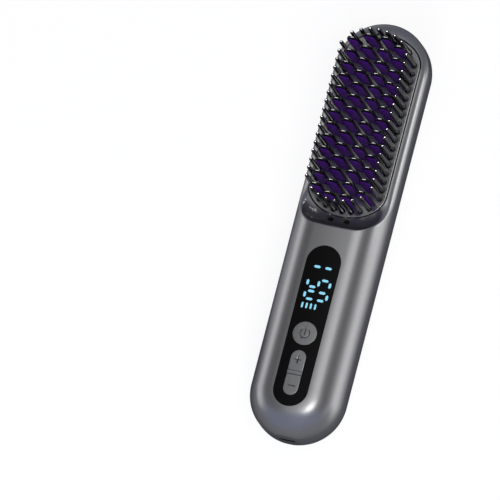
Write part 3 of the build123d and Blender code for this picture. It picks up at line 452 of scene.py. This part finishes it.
def rounded(a, b, radius, lean=0.0):
    """The larger of two distances, with the edge between them rounded. lean is the cosine of the
    angle between the two surfaces' normals."""
    a, b = a + radius, b + radius
    corner = np.sqrt(np.maximum(a * a + b * b - 2 * lean * a * b, 0) / (1 - lean * lean))
    in_corner = (a > lean * b) & (b > lean * a) & (a > 0) & (b > 0)
    return np.where(in_corner, corner, np.maximum(a, b)) - radius


def crown_drop(x):
    """How far the faintly crowned front lies below its middle."""
    return x * x / (2 * CROWN_RADIUS)


def closed_body(p):
    """The round-ended body without its cove."""
    plan = np.hypot(p[:, 0], np.maximum(np.abs(p[:, 1]) - SPINE, 0)) - HALF_WIDTH
    level = np.maximum(p[:, 2] - DEPTH + crown_drop(p[:, 0]), -p[:, 2])
    return rounded(plan, level, EDGE)


def pocket(p):
    """The space in front of the head: a flat floor and a sloped, flared wall with a coved foot."""
    x, y = np.maximum(np.abs(p[:, 0]) - COVE_FLAT / 2, 0), p[:, 1] - COVE_FOOT_Y - COVE_CORNER
    flare_x, flare_y = math.cos(COVE_FLARE), -math.sin(COVE_FLARE)
    on_flare = np.arctan2(y, np.maximum(x, 1e-9)) > -COVE_FLARE
    reach = np.where(on_flare & (x > 0), x * flare_x + y * flare_y, np.where(x > 0, np.hypot(x, y), -y))
    above = p[:, 2] - HEAD_LEVEL
    wall = (COVE_CORNER - reach + above * math.tan(COVE_SLOPE)) * math.cos(COVE_SLOPE)
    return rounded(-above, -wall, COVE_RADIUS, math.sin(COVE_SLOPE))


def body_form(p, inset):
    """The whole form, moved inwards by inset. The rim is crisp at the neck and soft round the head."""
    share = np.clip((p[:, 1] - RIM_START_Y) / RIM_BLEND, 0, 1)
    rim = LIP_ROUND + (RIM_ROUND - LIP_ROUND) * share * share * (3 - 2 * share)
    rim = np.maximum(rim - inset, RIM_SMALLEST)
    return rounded(closed_body(p) + inset, inset - pocket(p), rim, RIM_LEAN)


def settle(points, inset, flat_rows):
    """Moves points onto the form along its slope. The first flat_rows points keep their height."""
    points = points.copy()
    step = 1e-3
    for _ in range(14):
        value = body_form(points, inset)
        slope = np.empty_like(points)
        for axis in range(3):
            nudge = np.zeros(3)
            nudge[axis] = step
            slope[:, axis] = (body_form(points + nudge, inset) - value) / step
        slope[:flat_rows, 2] = 0
        length = np.maximum((slope ** 2).sum(axis=1), 1e-6)
        points -= slope * (value / length)[:, None]
    return points


def spine_stations():
    """Places round half the body's outline, close together at the neck: (y on the spine, angle)."""
    neck_low, neck_high = -4.0, 20.0
    right = [(y, 0.0) for y in np.linspace(-SPINE, neck_low, 16)[:-1]]
    right += [(y, 0.0) for y in np.arange(neck_low, neck_high, 0.4)]
    right += [(y, 0.0) for y in np.linspace(neck_high, SPINE, 14)]
    tip = [(SPINE, a) for a in np.linspace(0, math.pi, 57)[1:-1]]
    left = [(y, math.pi) for y, _ in reversed(right)]
    tail = [(-SPINE, a) for a in np.linspace(math.pi, 2 * math.pi, 57)[1:-1]]
    return right + tip + left + tail


def front_surface(inset):
    """A grid over the front half's outside or inside, from the parting line to the middle."""
    stations = spine_stations()
    roll = np.radians(np.linspace(0, 90, 46))
    low = [(EDGE - math.sqrt(EDGE ** 2 - (EDGE - z) ** 2), z) for z in (PARTING, 10.5, 12.2)]
    side = [(0.0, z) for z in (EDGE, 17.5)]
    turn = [(EDGE * (1 - math.cos(a)), DEPTH - EDGE + EDGE * math.sin(a)) for a in roll]
    flat = [(d, DEPTH) for d in (16.0, 18.5, 21.0, HALF_WIDTH)]
    rows = low + side + turn + flat
    points = []
    for d, z in rows:
        for y, angle in stations:
            reach = HALF_WIDTH - d
            points.append((reach * math.cos(angle), y + reach * math.sin(angle), z))
    points = np.array(points)
    start = points.copy()
    hollow = pocket(start)
    # Points over the pocket drop straight down onto its floor or wall first.
    for _ in range(60):
        over = hollow < 0
        start[over, 2] -= np.maximum(-hollow[over] * 0.8, 0.01)
        hollow = pocket(start)
    start[:, 2] = np.maximum(start[:, 2], PARTING)
    return settle(start, inset, len(stations)), len(stations), len(rows)


def front_shell():
    """The front half: a closed skin WALL thick, cut for the panel, the comb, the steam and the socket."""
    outside, across, rows = front_surface(0.0)
    inside, _, _ = front_surface(WALL)
    count = len(outside)
    faces = []
    for row in range(rows - 1):
        for i in range(across):
            a, b = row * across + i, row * across + (i + 1) % across
            c, d = b + across, a + across
            faces.append((a, b, c, d))
            faces.append((count + d, count + c, count + b, count + a))
    faces += [(i, count + i, count + (i + 1) % across, (i + 1) % across) for i in range(across)]
    mesh = mesh_from("front_shell_skin", np.concatenate([outside, inside]), faces)
    work = bmesh.new()
    work.from_mesh(mesh)
    bmesh.ops.remove_doubles(work, verts=work.verts, dist=0.02 * MM)
    bmesh.ops.dissolve_degenerate(work, edges=work.edges, dist=0.01 * MM)
    bmesh.ops.recalc_face_normals(work, faces=work.faces)
    work.to_mesh(mesh)
    work.free()
    mesh.materials.append(lacquer)
    panel_half = (PANEL_HIGH[1] - PANEL_LOW[1]) / 2
    panel_y = (PANEL_HIGH[1] + PANEL_LOW[1]) / 2
    panel_outline = stadium(panel_half + PANEL_GAP, PANEL_HIGH[0] + PANEL_GAP, panel_y)
    recess = prism(panel_outline, PANEL_LOW[2], DEPTH + 2)
    opening = prism(plate_outline(SEAM), HEAD_LEVEL - 4, HEAD_LEVEL + 3)
    tail = prism(
        [(-HALF_WIDTH, SHELL_LOW[1] - 5), (HALF_WIDTH, SHELL_LOW[1] - 5), (HALF_WIDTH, SHELL_LOW[1]),
         (-HALF_WIDTH, SHELL_LOW[1])], PARTING - 1, DEPTH + 1,
    )
    # The comb's seam and the steam holes get matt black walls: unpainted moulding, and painted shade that
    # makes these gaps read dark. The socket's mouth has the same black walls.
    cutters = [recess + (lacquer,), opening + (matt_black_and_painted_shade,), tail + (lacquer,)]
    cutters += [steam_channel(side) + (matt_black_and_painted_shade,) for side in (-1, 1)]
    cutters += [socket_hole() + (matt_black_and_painted_shade,), plug_hole() + (lacquer,)]
    cut_mesh = cut(mesh, cutters)
    return as_piece("front_moulding", cut_mesh, "body", "body_paint", lacquer, "front_shell", sharp=32)


def steam_channel(side):
    """A cylinder along the steam's way out, through the foot of the cove."""
    tangent = COVE_RADIUS * math.tan((math.pi / 2 - COVE_SLOPE) / 2)
    y = COVE_FOOT_Y + tangent - COVE_RADIUS * math.cos(STEAM_TILT)
    z = HEAD_LEVEL + COVE_RADIUS - COVE_RADIUS * math.sin(STEAM_TILT)
    out = np.array([0, math.cos(STEAM_TILT), math.sin(STEAM_TILT)])
    across = np.array([1.0, 0, 0])
    up = np.cross(out, across)
    middle = np.array([side * STEAM_SPACING / 2, y, z])
    steps = 32
    points = []
    for reach in (-2 * WALL, WALL):
        for n in range(steps):
            a = 2 * math.pi * n / steps
            points.append(middle + reach * out + STEAM_RADIUS * (math.cos(a) * across + math.sin(a) * up))
    return np.array(points), prism_faces(steps)


def side_prism(outline, axis, low, high):
    """A prism over an outline given as (across, height) pairs, that runs along axis 0 (X) or 1 (Y)."""
    points = []
    for reach in (low, high):
        for across, height in outline:
            points.append((reach, across, height) if axis == 0 else (across, reach, height))
    faces = prism_faces(len(outline))
    if axis == 1:
        faces = [face[::-1] for face in faces]
    return np.array(points, float), faces


def slot_outline(centre, half_length, half_width, steps=16):
    """A round-ended outline that lies along its first coordinate."""
    run = half_length - half_width
    right = arc((centre[0] + run, centre[1]), half_width, -90, 90, steps)
    return right + arc((centre[0] - run, centre[1]), half_width, 90, 270, steps)


def socket_hole():
    """The charging socket's mouth, through the tail's wall."""
    middle = (0, (SOCKET_LOW[2] + SOCKET_HIGH[2]) / 2)
    half = (SOCKET_HIGH[2] - SOCKET_LOW[2]) / 2
    outline = slot_outline(middle, SOCKET_HIGH[0] + SOCKET_GAP, half + SOCKET_GAP)
    return side_prism(outline, 1, SHELL_LOW[1] - 2, SHELL_LOW[1] + 4)


def plug_hole():
    """The seat of the filling plug's head, sunk into the left side."""
    middle = ((PLUG_LOW[1] + PLUG_HIGH[1]) / 2, (PLUG_LOW[2] + PLUG_HIGH[2]) / 2)
    half_length, half_width = (PLUG_HIGH[1] - PLUG_LOW[1]) / 2, (PLUG_HIGH[2] - PLUG_LOW[2]) / 2
    outline = slot_outline(middle, half_length + PLUG_GAP, half_width + PLUG_GAP)
    return side_prism(outline, 0, -HALF_WIDTH - 2, -HALF_WIDTH + 1.1)


# --- Comb ---------------------------------------------------------------------------------------

def tooth_places():
    """The teeth's places in the plan, column by column."""
    return [
        (x, COMB_Y + (row - (rows - 1) / 2) * TOOTH_PITCH) for x, rows in TOOTH_COLUMNS for row in range(rows)
    ]


def pin_places():
    """Two straight rows, and an arched group at each end."""
    places = []
    for side in (-1, 1):
        for row in range(PINS_PER_SIDE):
            places.append((side * PIN_SIDE_X, COMB_Y + (row - (PINS_PER_SIDE - 1) / 2) * PIN_PITCH))
    rise = PLATE_END - PIN_END_INSET
    for end in (-1, 1):
        x = 0.0
        for step in range(PINS_PER_HALF_END + 1):
            arch = rise * math.sqrt(1 - (x / PIN_SIDE_X) ** 2)
            y = COMB_Y + end * (PLATE_REACH - PLATE_END + arch)
            places += [(x, y)] if step == 0 else [(x, y), (-x, y)]
            slope = rise * x / PIN_SIDE_X ** 2 / math.sqrt(1 - (x / PIN_SIDE_X) ** 2)
            x += PIN_END_PITCH / math.sqrt(1 + slope ** 2)
    return places


def comb_plate():
    """The moulded plate: its outer edge is broken by a small bevel, and it is cut for teeth and pins."""
    steps = 3
    rings = [(0.0, PLATE_LOW[2])]
    for n in range(steps + 1):
        a = math.radians(90 * n / steps)
        rings.append((PLATE_BEVEL * (math.cos(a) - 1), PLATE_HIGH[2] - PLATE_BEVEL * (1 - math.sin(a))))
    points = []
    for grow, z in rings:
        points += [(x, y, z) for x, y in plate_outline(grow)]
    count = len(plate_outline(0))
    faces = band_faces(len(rings), count) + end_faces(len(rings), count)
    mesh = mesh_from("comb_plate", points, faces)
    mesh.materials.append(plate_lacquer)
    mesh.materials.append(matt_black_and_painted_shade)
    # The plate's sides below the bevel are matt black: unpainted edges, and painted shade that darkens the
    # seam round the plate. The walls of its slots and pin holes are matt black too.
    for face in mesh.polygons:
        face.material_index = int(face.center.z / MM < PLATE_HIGH[2] - PLATE_BEVEL)
    cutters = []
    for outlines in slots_and_holes():
        tools = [prism(outline, PLATE_LOW[2] - 1, PLATE_HIGH[2] + 1) for outline in outlines]
        cutters.append(join(tools) + (matt_black_and_painted_shade,))
    mesh = cut(mesh, cutters)
    return as_piece("comb_cover", mesh, "body", "comb_grey", plate_lacquer, "comb_plate", flat_faces=True)


def slots_and_holes():
    """The outlines of the teeth's slots, and those of the pins' holes."""
    half_width, half_depth = TOOTH_WIDTH / 2 + SLOT_GAP, CAP_THICKNESS / 2 + SLOT_GAP
    corners = ((-half_width, -half_depth), (half_width, -half_depth), (half_width, half_depth),
               (-half_width, half_depth))
    slots = [[(x + dx, y + dy) for dx, dy in corners] for x, y in tooth_places()]
    return slots, [circle(x, y, PIN_ROOT + PIN_HOLE_GAP, 20) for x, y in pin_places()]


def cap_profile():
    """Stations round one cap, foot to foot: the outer and the inner edge, seen from the tail."""
    foot, top = CAPS_LOW[2], CAPS_HIGH[2]
    half = TOOTH_WIDTH / 2
    turn = [math.radians(90 * n / 8) for n in range(9)]
    outer = [(half, foot), (half, (foot + top) / 2)]
    shoulder_z = top - CAP_SHOULDER - CAP_ARCH
    for a in turn:
        x = half - CAP_SHOULDER + CAP_SHOULDER * math.cos(a)
        lift = CAP_ARCH * (1 - (x / half) ** 2)
        outer.append((x, shoulder_z + CAP_SHOULDER * math.sin(a) + lift))
    outer.append((0.0, top))
    inner_half, inner_top = half - CAP_BAND, top - CAP_CROWN
    inner = [(inner_half, foot), (inner_half, (foot + top) / 2)]
    for a in turn:
        inner.append((inner_half - FIN_CORNER + FIN_CORNER * math.cos(a),
                      inner_top - FIN_CORNER + FIN_CORNER * math.sin(a)))
    inner.append((0.0, inner_top))
    return [edge + [(-x, z) for x, z in reversed(edge[:-1])] for edge in (outer, inner)]


def one_cap():
    """A cap as a band round the fin: nearly sharp edges on the legs, a full round on the crown."""
    outer, inner = cap_profile()
    half = CAP_THICKNESS / 2
    top = CAPS_HIGH[2]
    turn = np.radians(np.linspace(0, 90, 5))
    points = []
    for (ox, oz), (ix, iz) in zip(outer, inner):
        width = math.hypot(ix - ox, iz - oz)
        share = min(max(1 - (top - oz) / CAP_SOFTENING, 0), 1)
        soft = CAP_EDGE_LEG + (CAP_EDGE_CROWN - CAP_EDGE_LEG) * share
        section = [(soft * (1 - math.cos(a)), half - soft * (1 - math.sin(a))) for a in turn]
        section += [(width, half), (width, -half)]
        section += [(soft * (1 - math.cos(a)), -half + soft * (1 - math.sin(a))) for a in turn[::-1]]
        for inward, y in section:
            reach = inward / width
            points.append((ox + (ix - ox) * reach, y, oz + (iz - oz) * reach))
    rings, count = len(outer), len(section)
    return np.array(points), band_faces(rings, count) + end_faces(rings, count)


def fin_caps():
    """The caps, polished on their crowns and matt on their legs."""
    mesh = mesh_from("fin_caps", *copies(*one_cap(), tooth_places()))
    mesh.materials.append(nylon)
    mesh.materials.append(leg_nylon)
    for face in mesh.polygons:
        face.material_index = int(face.center.z / MM < CAPS_HIGH[2] - CAP_SHOULDER - CAP_ARCH)
    return as_piece("arched_caps", mesh, "body", "black_nylon", nylon, "fin_caps", sharp=50)


def fin_outline():
    """A fin seen from the tail: a blade with rounded upper corners that fills its cap."""
    half, foot, top = TOOTH_WIDTH / 2 - CAP_BAND, CAPS_LOW[2] - FIN_SINK, CAPS_HIGH[2] - CAP_CROWN
    run, level = half - FIN_CORNER, top - FIN_CORNER
    upper = arc((run, level), FIN_CORNER, 0, 90, 8) + arc((-run, level), FIN_CORNER, 90, 180, 8)
    return [(half, foot)] + upper + [(-half, foot)]


def heated_plate():
    """The coated casting: the solid's own base with its fins taken down, and blades in their places."""
    blade = side_prism(fin_outline(), 1, -FIN_THICKNESS / 2, FIN_THICKNESS / 2)
    blades = mesh_from("fins", *copies(*blade, tooth_places()))
    work = bmesh.new()
    work.from_mesh(solid_mesh("heating_plate"))
    for vertex in work.verts:
        vertex.co.z = min(vertex.co.z, (CAPS_LOW[2] + FIN_STUB) * MM)
    work.from_mesh(blades)
    bmesh.ops.recalc_face_normals(work, faces=work.faces)
    mesh = bpy.data.meshes.new("heated_plate")
    work.to_mesh(mesh)
    work.free()
    return as_piece("finned_casting", mesh, "body", "purple_coating", purple, "heating_plate")


def guard_pins():
    """Tapered pins with a round tip and a small collar where they leave the plate."""
    foot, top = PINS_LOW[2], PINS_HIGH[2]
    steps = 20
    collar_top, shaft = HEAD_LEVEL + PIN_COLLAR, PIN_ROOT - PIN_COLLAR_STEP
    profile = [(PIN_ROOT, foot), (PIN_ROOT, collar_top), (shaft, collar_top + PIN_COLLAR_SLOPE)]
    run = top - PIN_TIP - HEAD_LEVEL
    for share in (0.25, 0.5, 0.75):
        profile.append((shaft + (PIN_TIP - PIN_ROOT + PIN_COLLAR_STEP) * share, HEAD_LEVEL + run * share))
    profile += [(PIN_TIP * math.cos(a), top - PIN_TIP + PIN_TIP * math.sin(a))
                for a in np.radians(np.linspace(0, 80, 7))]
    points = [(r * math.cos(t), r * math.sin(t), z) for r, z in profile
              for t in np.linspace(0, 2 * math.pi, steps, endpoint=False)]
    points += [(0, 0, top), (0, 0, foot)]
    faces = band_faces(len(profile), steps)
    last = (len(profile) - 1) * steps
    faces += [(last + i, last + (i + 1) % steps, len(points) - 2) for i in range(steps)]
    faces += [((i + 1) % steps, i, len(points) - 1) for i in range(steps)]
    mesh = mesh_from("guard_pins", *copies(np.array(points), faces, pin_places()))
    return as_piece("round_tipped_pins", mesh, "body", "black_nylon", pin_nylon, "guard_pins", sharp=60)


# --- Control strip ------------------------------------------------------------------------------

def solid_mesh(name):
    """A copy of a solid's own mesh, with no material."""
    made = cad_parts[name].data.copy()
    made.materials.clear()
    return made


def crowned(mesh):
    """Bends the top of a piece of the control strip to the front's faint crown."""
    work = bmesh.new()
    work.from_mesh(mesh)
    for x in np.arange(-PANEL_HIGH[0] + CROWN_STRIP, PANEL_HIGH[0], CROWN_STRIP):
        bmesh.ops.bisect_plane(
            work, geom=work.verts[:] + work.edges[:] + work.faces[:], dist=1e-7, plane_co=(x * MM, 0, 0),
            plane_no=(1, 0, 0),
        )
    for vertex in work.verts:
        if vertex.co.z / MM > DEPTH - KEY_RISE:
            vertex.co.z -= crown_drop(vertex.co.x / MM) * MM
    work.to_mesh(mesh)
    work.free()
    return mesh


def bar(x, y, half_x, half_y):
    """A rectangular outline round its middle."""
    corners = ((-1, -1), (1, -1), (1, 1), (-1, 1))
    return [(x + side_x * half_x, y + side_y * half_y) for side_x, side_y in corners]


def power_sign(y):
    """An open ring with an upright stroke."""
    start, end = 90 + POWER_HALF_OPENING, 450 - POWER_HALF_OPENING
    outer = arc((0, y), POWER_RADIUS + SIGN_STROKE / 2, start, end, 48)
    inner = arc((0, y), POWER_RADIUS - SIGN_STROKE / 2, end, start, 48)
    return [outer + inner, bar(0, y + POWER_STROKE_RISE, SIGN_STROKE / 2, POWER_STROKE_REACH)]


def plus_sign(y):
    """An upright cross."""
    stroke, reach = SIGN_STROKE / 2, PLUS_REACH
    return [[(-stroke, y - reach), (stroke, y - reach), (stroke, y - stroke), (reach, y - stroke),
             (reach, y + stroke), (stroke, y + stroke), (stroke, y + reach), (-stroke, y + reach),
             (-stroke, y + stroke), (-reach, y + stroke), (-reach, y - stroke), (-stroke, y - stroke)]]


def minus_sign(y):
    """A stroke across."""
    return [bar(0, y, MINUS_REACH, SIGN_STROKE / 2)]


def key(name, node_name, body, sign):
    """A moulded key with its sign engraved and filled with dark ink."""
    low, high = box_mm(node_name)
    mesh = solid_mesh(node_name)
    mesh.materials.append(keys_paint)
    strokes = sign((low[1] + high[1]) / 2)
    cutters = [prism(outline, high[2] - SIGN_DEPTH, high[2] + 1) for outline in strokes]
    mesh = crowned(cut(mesh, [join(cutters) + (ink,)]))
    return as_piece(name, mesh, body, "key_grey", keys_paint, node_name, flat_faces=True)


def control_strip():
    """The panel with its lit marks and divider, and the three keys."""
    for name, node_name, slot, material in (
        ("strip_panel", "control_panel", "panel_black", acrylic),
        ("lit_segments", "display_segments", "display_cyan", cyan),
        ("pill_divider", "key_divider", "key_grey", keys_paint),
    ):
        as_piece(name, crowned(solid_mesh(node_name)), "body", slot, material, node_name, flat_faces=True)
    key("power_key_cap", "power_button", "power_button", power_sign)
    key("plus_key_cap", "plus_key", "plus_key", plus_sign)
    key("minus_key_cap", "minus_key", "minus_key", minus_sign)


# --- Assembly -----------------------------------------------------------------------------------

front_shell()
comb_plate()
caps = fin_caps()
fins = heated_plate()
pins = guard_pins()
control_strip()

FINISHES = {
    lacquer: ("rear_shell",),
    zinc: ("shell_screws", "clamp_screws", "heater_clamp"),
    nylon: ("pin_carrier",),
    foil: ("heater_element",),
    mica: ("mica_sheet",),
    epoxy: ("thermistor", "thermal_fuse"),
    matt_black_and_painted_shade: ("heat_tray", "display_module", "battery_cradle", "mist_nozzle", "atomizer_holder"),
    switch_case: ("tactile_switches",),
    solder_mask: ("main_board", "charge_board"),
    sleeve: ("battery_cells",),
    # The socket's nickel is toned darker as painted shade for the inside of its mouth.
    nickel_with_painted_shade: ("battery_tabs", "usb_socket"),
    polypropylene: ("water_tank", "tank_lid"),
    piezo: ("atomizer_disc",),
    silicone: ("atomizer_gasket", "fill_plug"),
    cotton: ("wick",),
}
for material, names in FINISHES.items():
    for name in names:
        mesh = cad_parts[name].data
        mesh.materials.clear()
        mesh.materials.append(material)


# --- Floor, light and camera --------------------------------------------------------------------

# How bright the table is in reflections goes by place, and is painted light: two painted pools of light, a
# bright one on the right and a fainter one on the left, each of fades that are multiplied, each as (axis,
# from, to, brightness there, brightness here), in metres.
PAINTED_TABLE_LIGHT = (
    (("X", 0.02, 0.09, 0.0, 0.95), ("Y", -0.125, -0.085, 0.0, 1.0), ("Y", 0.10, 0.13, 1.0, 0.0)),
    (("X", -0.05, -0.02, 0.30, 0.0), ("Y", -0.055, -0.02, 0.0, 1.0)),
)
# The dim painted glow that reflections see on the rest of the table, standing in for the object's shade.
TABLE_PAINTED_GLOW_ELSEWHERE = 0.08
TABLE_GLOW = 0.88
TABLE_REACH = 3.0
TABLE_DROP = 0.0002

# The studio's brightness by direction, as (degrees from straight up towards +X, brightness).
STUDIO_BANDS = (
    (-180, 0.2), (-100, 0.55), (-84, 1.15), (-70, 0.90), (-60, 0.14), (-40, 0.10), (-22, 0.12), (-11, 0.45),
    (2, 0.62), (12, 1.0), (30, 1.15), (40, 0.22), (50, 0.13), (64, 0.10), (80, 0.25), (94, 1.25),
    (132, 1.25), (180, 0.2),
)
# Towards the tail and towards the head the bands fade to a dim colour: (from, to, colour).
STUDIO_FADES = ((-0.16, -0.46, (0.23, 0.25, 0.35, 1)), (0.32, 0.60, (0.16, 0.17, 0.22, 1)))
# A compact lamp up to the right, on the tail's side.
COMPACT_WAY = (0.441, -0.21, 0.871)
COMPACT_OUTER = math.radians(10)
COMPACT_INNER = math.radians(5)
COMPACT_BRIGHTNESS = 6.0

# The camera's own axes before it is turned in the picture, and the picture's middle along them.
VIEW_RIGHT = Vector((0.9646, 0.0, -0.2639))
VIEW_UP = Vector((0.0595, 0.9743, 0.2175))
VIEW_BACK = Vector((0.2571, -0.2255, 0.9398))
VIEW_TURN = math.radians(14.6)
VIEW_MIDDLE = (-44.37, -14.26)  # millimetres
VIEW_WIDTH = 0.2372
VIEW_DISTANCE = 0.6


def white_floor():
    """A white table that keeps the object's soft shadow."""
    made = bpy.data.materials.new("white_table")
    made.use_nodes = True
    tree = made.node_tree
    tree.nodes.clear()
    ray = node(tree, "LightPath").outputs
    at = node(tree, "SeparateXYZ", Vector=node(tree, "TexCoord").outputs["Object"]).outputs
    # The table's glow in reflections is painted light: a bright pool on the right, a fainter one on the left
    # and a dim painted glow elsewhere.
    shares = []
    for patch in PAINTED_TABLE_LIGHT:
        share = None
        for axis, start, end, first, last in patch:
            fade = node(
                tree, "MapRange", SOFT, Value=at[axis], From_Min=start, From_Max=end, To_Min=first,
                To_Max=last,
            ).outputs["Result"]
            share = fade if share is None else node(tree, "Math", PRODUCT, i0=share, i1=fade).outputs[0]
        shares.append(share)
    painted_pools = node(tree, "Math", SUM, i0=shares[1], i1=shares[0])
    lit = node(tree, "Math", SUM, i0=painted_pools.outputs[0], i1=TABLE_PAINTED_GLOW_ELSEWHERE)
    not_direct = node(tree, "Math", LARGER, i0=ray["Is Glossy Ray"], i1=ray["Is Transmission Ray"])
    reflected_painted_light = node(tree, "Math", PRODUCT, i0=not_direct.outputs[0], i1=lit.outputs[0])
    direct = node(tree, "Math", PRODUCT, i0=ray["Is Camera Ray"], i1=TABLE_GLOW)
    strength = node(tree, "Math", LARGER, i0=direct.outputs[0], i1=reflected_painted_light.outputs[0])
    glow = node(tree, "Emission", Color=linear("#FFFFFF"), Strength=strength.outputs[0])
    matt = node(tree, "BsdfDiffuse", Color=linear("#808082"))
    both = node(tree, "AddShader", i0=glow.outputs[0], i1=matt.outputs[0])
    node(tree, "OutputMaterial", Surface=both.outputs[0])
    mesh = bpy.data.meshes.new("table")
    corners = [(x, y, 0) for x, y in bar(0, 0, TABLE_REACH, TABLE_REACH)]
    mesh.from_pydata(corners, [], [(0, 1, 2, 3)])
    mesh.materials.append(made)
    floor = bpy.data.objects.new("table", mesh)
    floor.location.z = -TABLE_DROP
    bpy.context.scene.collection.objects.link(floor)


def studio_world():
    """Broad soft light panels round the object. The camera itself sees white."""
    world = bpy.data.worlds.new("studio")
    bpy.context.scene.world = world
    world.use_nodes = True
    tree = world.node_tree
    tree.nodes.clear()
    way = node(tree, "TexCoord").outputs["Generated"]
    along = node(tree, "SeparateXYZ", Vector=way).outputs
    turn = node(tree, "Math", {"operation": "ARCTAN2"}, i0=along["X"], i1=along["Z"])
    share = node(tree, "MapRange", Value=turn.outputs[0], From_Min=-math.pi, From_Max=math.pi)
    bands = node(tree, "ValToRGB", Fac=share.outputs["Result"])
    elements = bands.color_ramp.elements
    for angle, _ in STUDIO_BANDS[1:-1]:
        elements.new((angle + 180) / 360)
    for element, (angle, value) in zip(elements, STUDIO_BANDS):
        element.position = (angle + 180) / 360
        element.color = (value, value, value, 1)
    seen = bands.outputs["Color"]
    for start, end, colour in STUDIO_FADES:
        fade = node(tree, "MapRange", SOFT, Value=along["Y"], From_Min=start, From_Max=end)
        seen = node(tree, "Mix", RGBA, Factor=fade.outputs["Result"], i6=seen, i7=colour).outputs[2]
    toward = node(tree, "VectorMath", {"operation": "DOT_PRODUCT"}, i0=way, i1=COMPACT_WAY)
    lamp = node(
        tree, "MapRange", SOFT, Value=toward.outputs["Value"], From_Min=math.cos(COMPACT_OUTER),
        From_Max=math.cos(COMPACT_INNER), To_Max=COMPACT_BRIGHTNESS,
    )
    channels = {name: lamp.outputs["Result"] for name in ("Red", "Green", "Blue")}
    bright = node(tree, "CombineColor", **channels)
    total = node(tree, "Mix", {**RGBA, "blend_type": "ADD"}, Factor=1.0, i6=seen, i7=bright.outputs[0])
    ray = node(tree, "LightPath").outputs["Is Camera Ray"]
    final = node(tree, "Mix", RGBA, Factor=ray, i6=total.outputs[2], i7=(1, 1, 1, 1))
    sky = node(tree, "Background", Color=final.outputs[2], Strength=1.0)
    node(tree, "OutputWorld", Surface=sky.outputs[0])


def soft_lamp(name, place, aim, size, power, in_gloss, only=()):
    """A flat lamp, in metres and watts. in_gloss says whether reflections show it, and only holds the
    pieces that it lights, where it lights no others."""
    data = bpy.data.lights.new(name, "AREA")
    data.shape = "RECTANGLE"
    data.size, data.size_y = size
    data.energy = power
    made = bpy.data.objects.new(name, data)
    made.location = place
    made.rotation_euler = (Vector(aim) - Vector(place)).to_track_quat("-Z", "Y").to_euler()
    made.visible_glossy = in_gloss
    made.visible_camera = False
    bpy.context.scene.collection.objects.link(made)
    if only:
        receivers = bpy.data.collections.new(name + "_lit")
        for piece in only:
            receivers.objects.link(piece)
        made.light_linking.receiver_collection = receivers


def camera():
    """Long-lens view from the right and a little from the tail, turned so that the head points up right."""
    across = math.cos(VIEW_TURN) * VIEW_RIGHT + math.sin(VIEW_TURN) * VIEW_UP
    upright = -math.sin(VIEW_TURN) * VIEW_RIGHT + math.cos(VIEW_TURN) * VIEW_UP
    data = bpy.data.cameras.new("view")
    data.type = "ORTHO"
    data.ortho_scale = VIEW_WIDTH
    made = bpy.data.objects.new("view", data)
    bpy.context.scene.collection.objects.link(made)
    middle = (VIEW_MIDDLE[0] * VIEW_RIGHT + VIEW_MIDDLE[1] * VIEW_UP) * MM
    spot = middle + VIEW_DISTANCE * VIEW_BACK
    rows = [(across[n], upright[n], VIEW_BACK[n], spot[n]) for n in range(3)]
    made.matrix_world = Matrix(rows + [(0, 0, 0, 1)])
    bpy.context.scene.camera = made


white_floor()
studio_world()
# A weak fill on the tail, and a glint along the head's right side.
soft_lamp("tail_fill", (0.2, -0.65, 0.45), (0, 0, 0.03), (0.35, 0.35), 2.0, False)
soft_lamp("head_side", (0.30, 0.12, 0.05), (0.02, 0.04, 0.02), (0.08, 0.08), 0.05, True)
# The highlights on the crests of the caps and pins. It is about seven times a plain level, so in other
# light these pieces look flatter and blacker.
soft_lamp("crown_light", (-0.23, 0.64, 0.68), (0, 0.05, 0.045), (0.7, 0.22), 55.0, True, (caps, pins))
# A fill on the fins alone.
soft_lamp("fin_fill", (0.206, -0.13, 0.78), (0, 0.05, 0.035), (0.3, 0.3), 5.0, False, (fins,))
camera()
bpy.context.scene.view_settings.view_transform = "Standard"
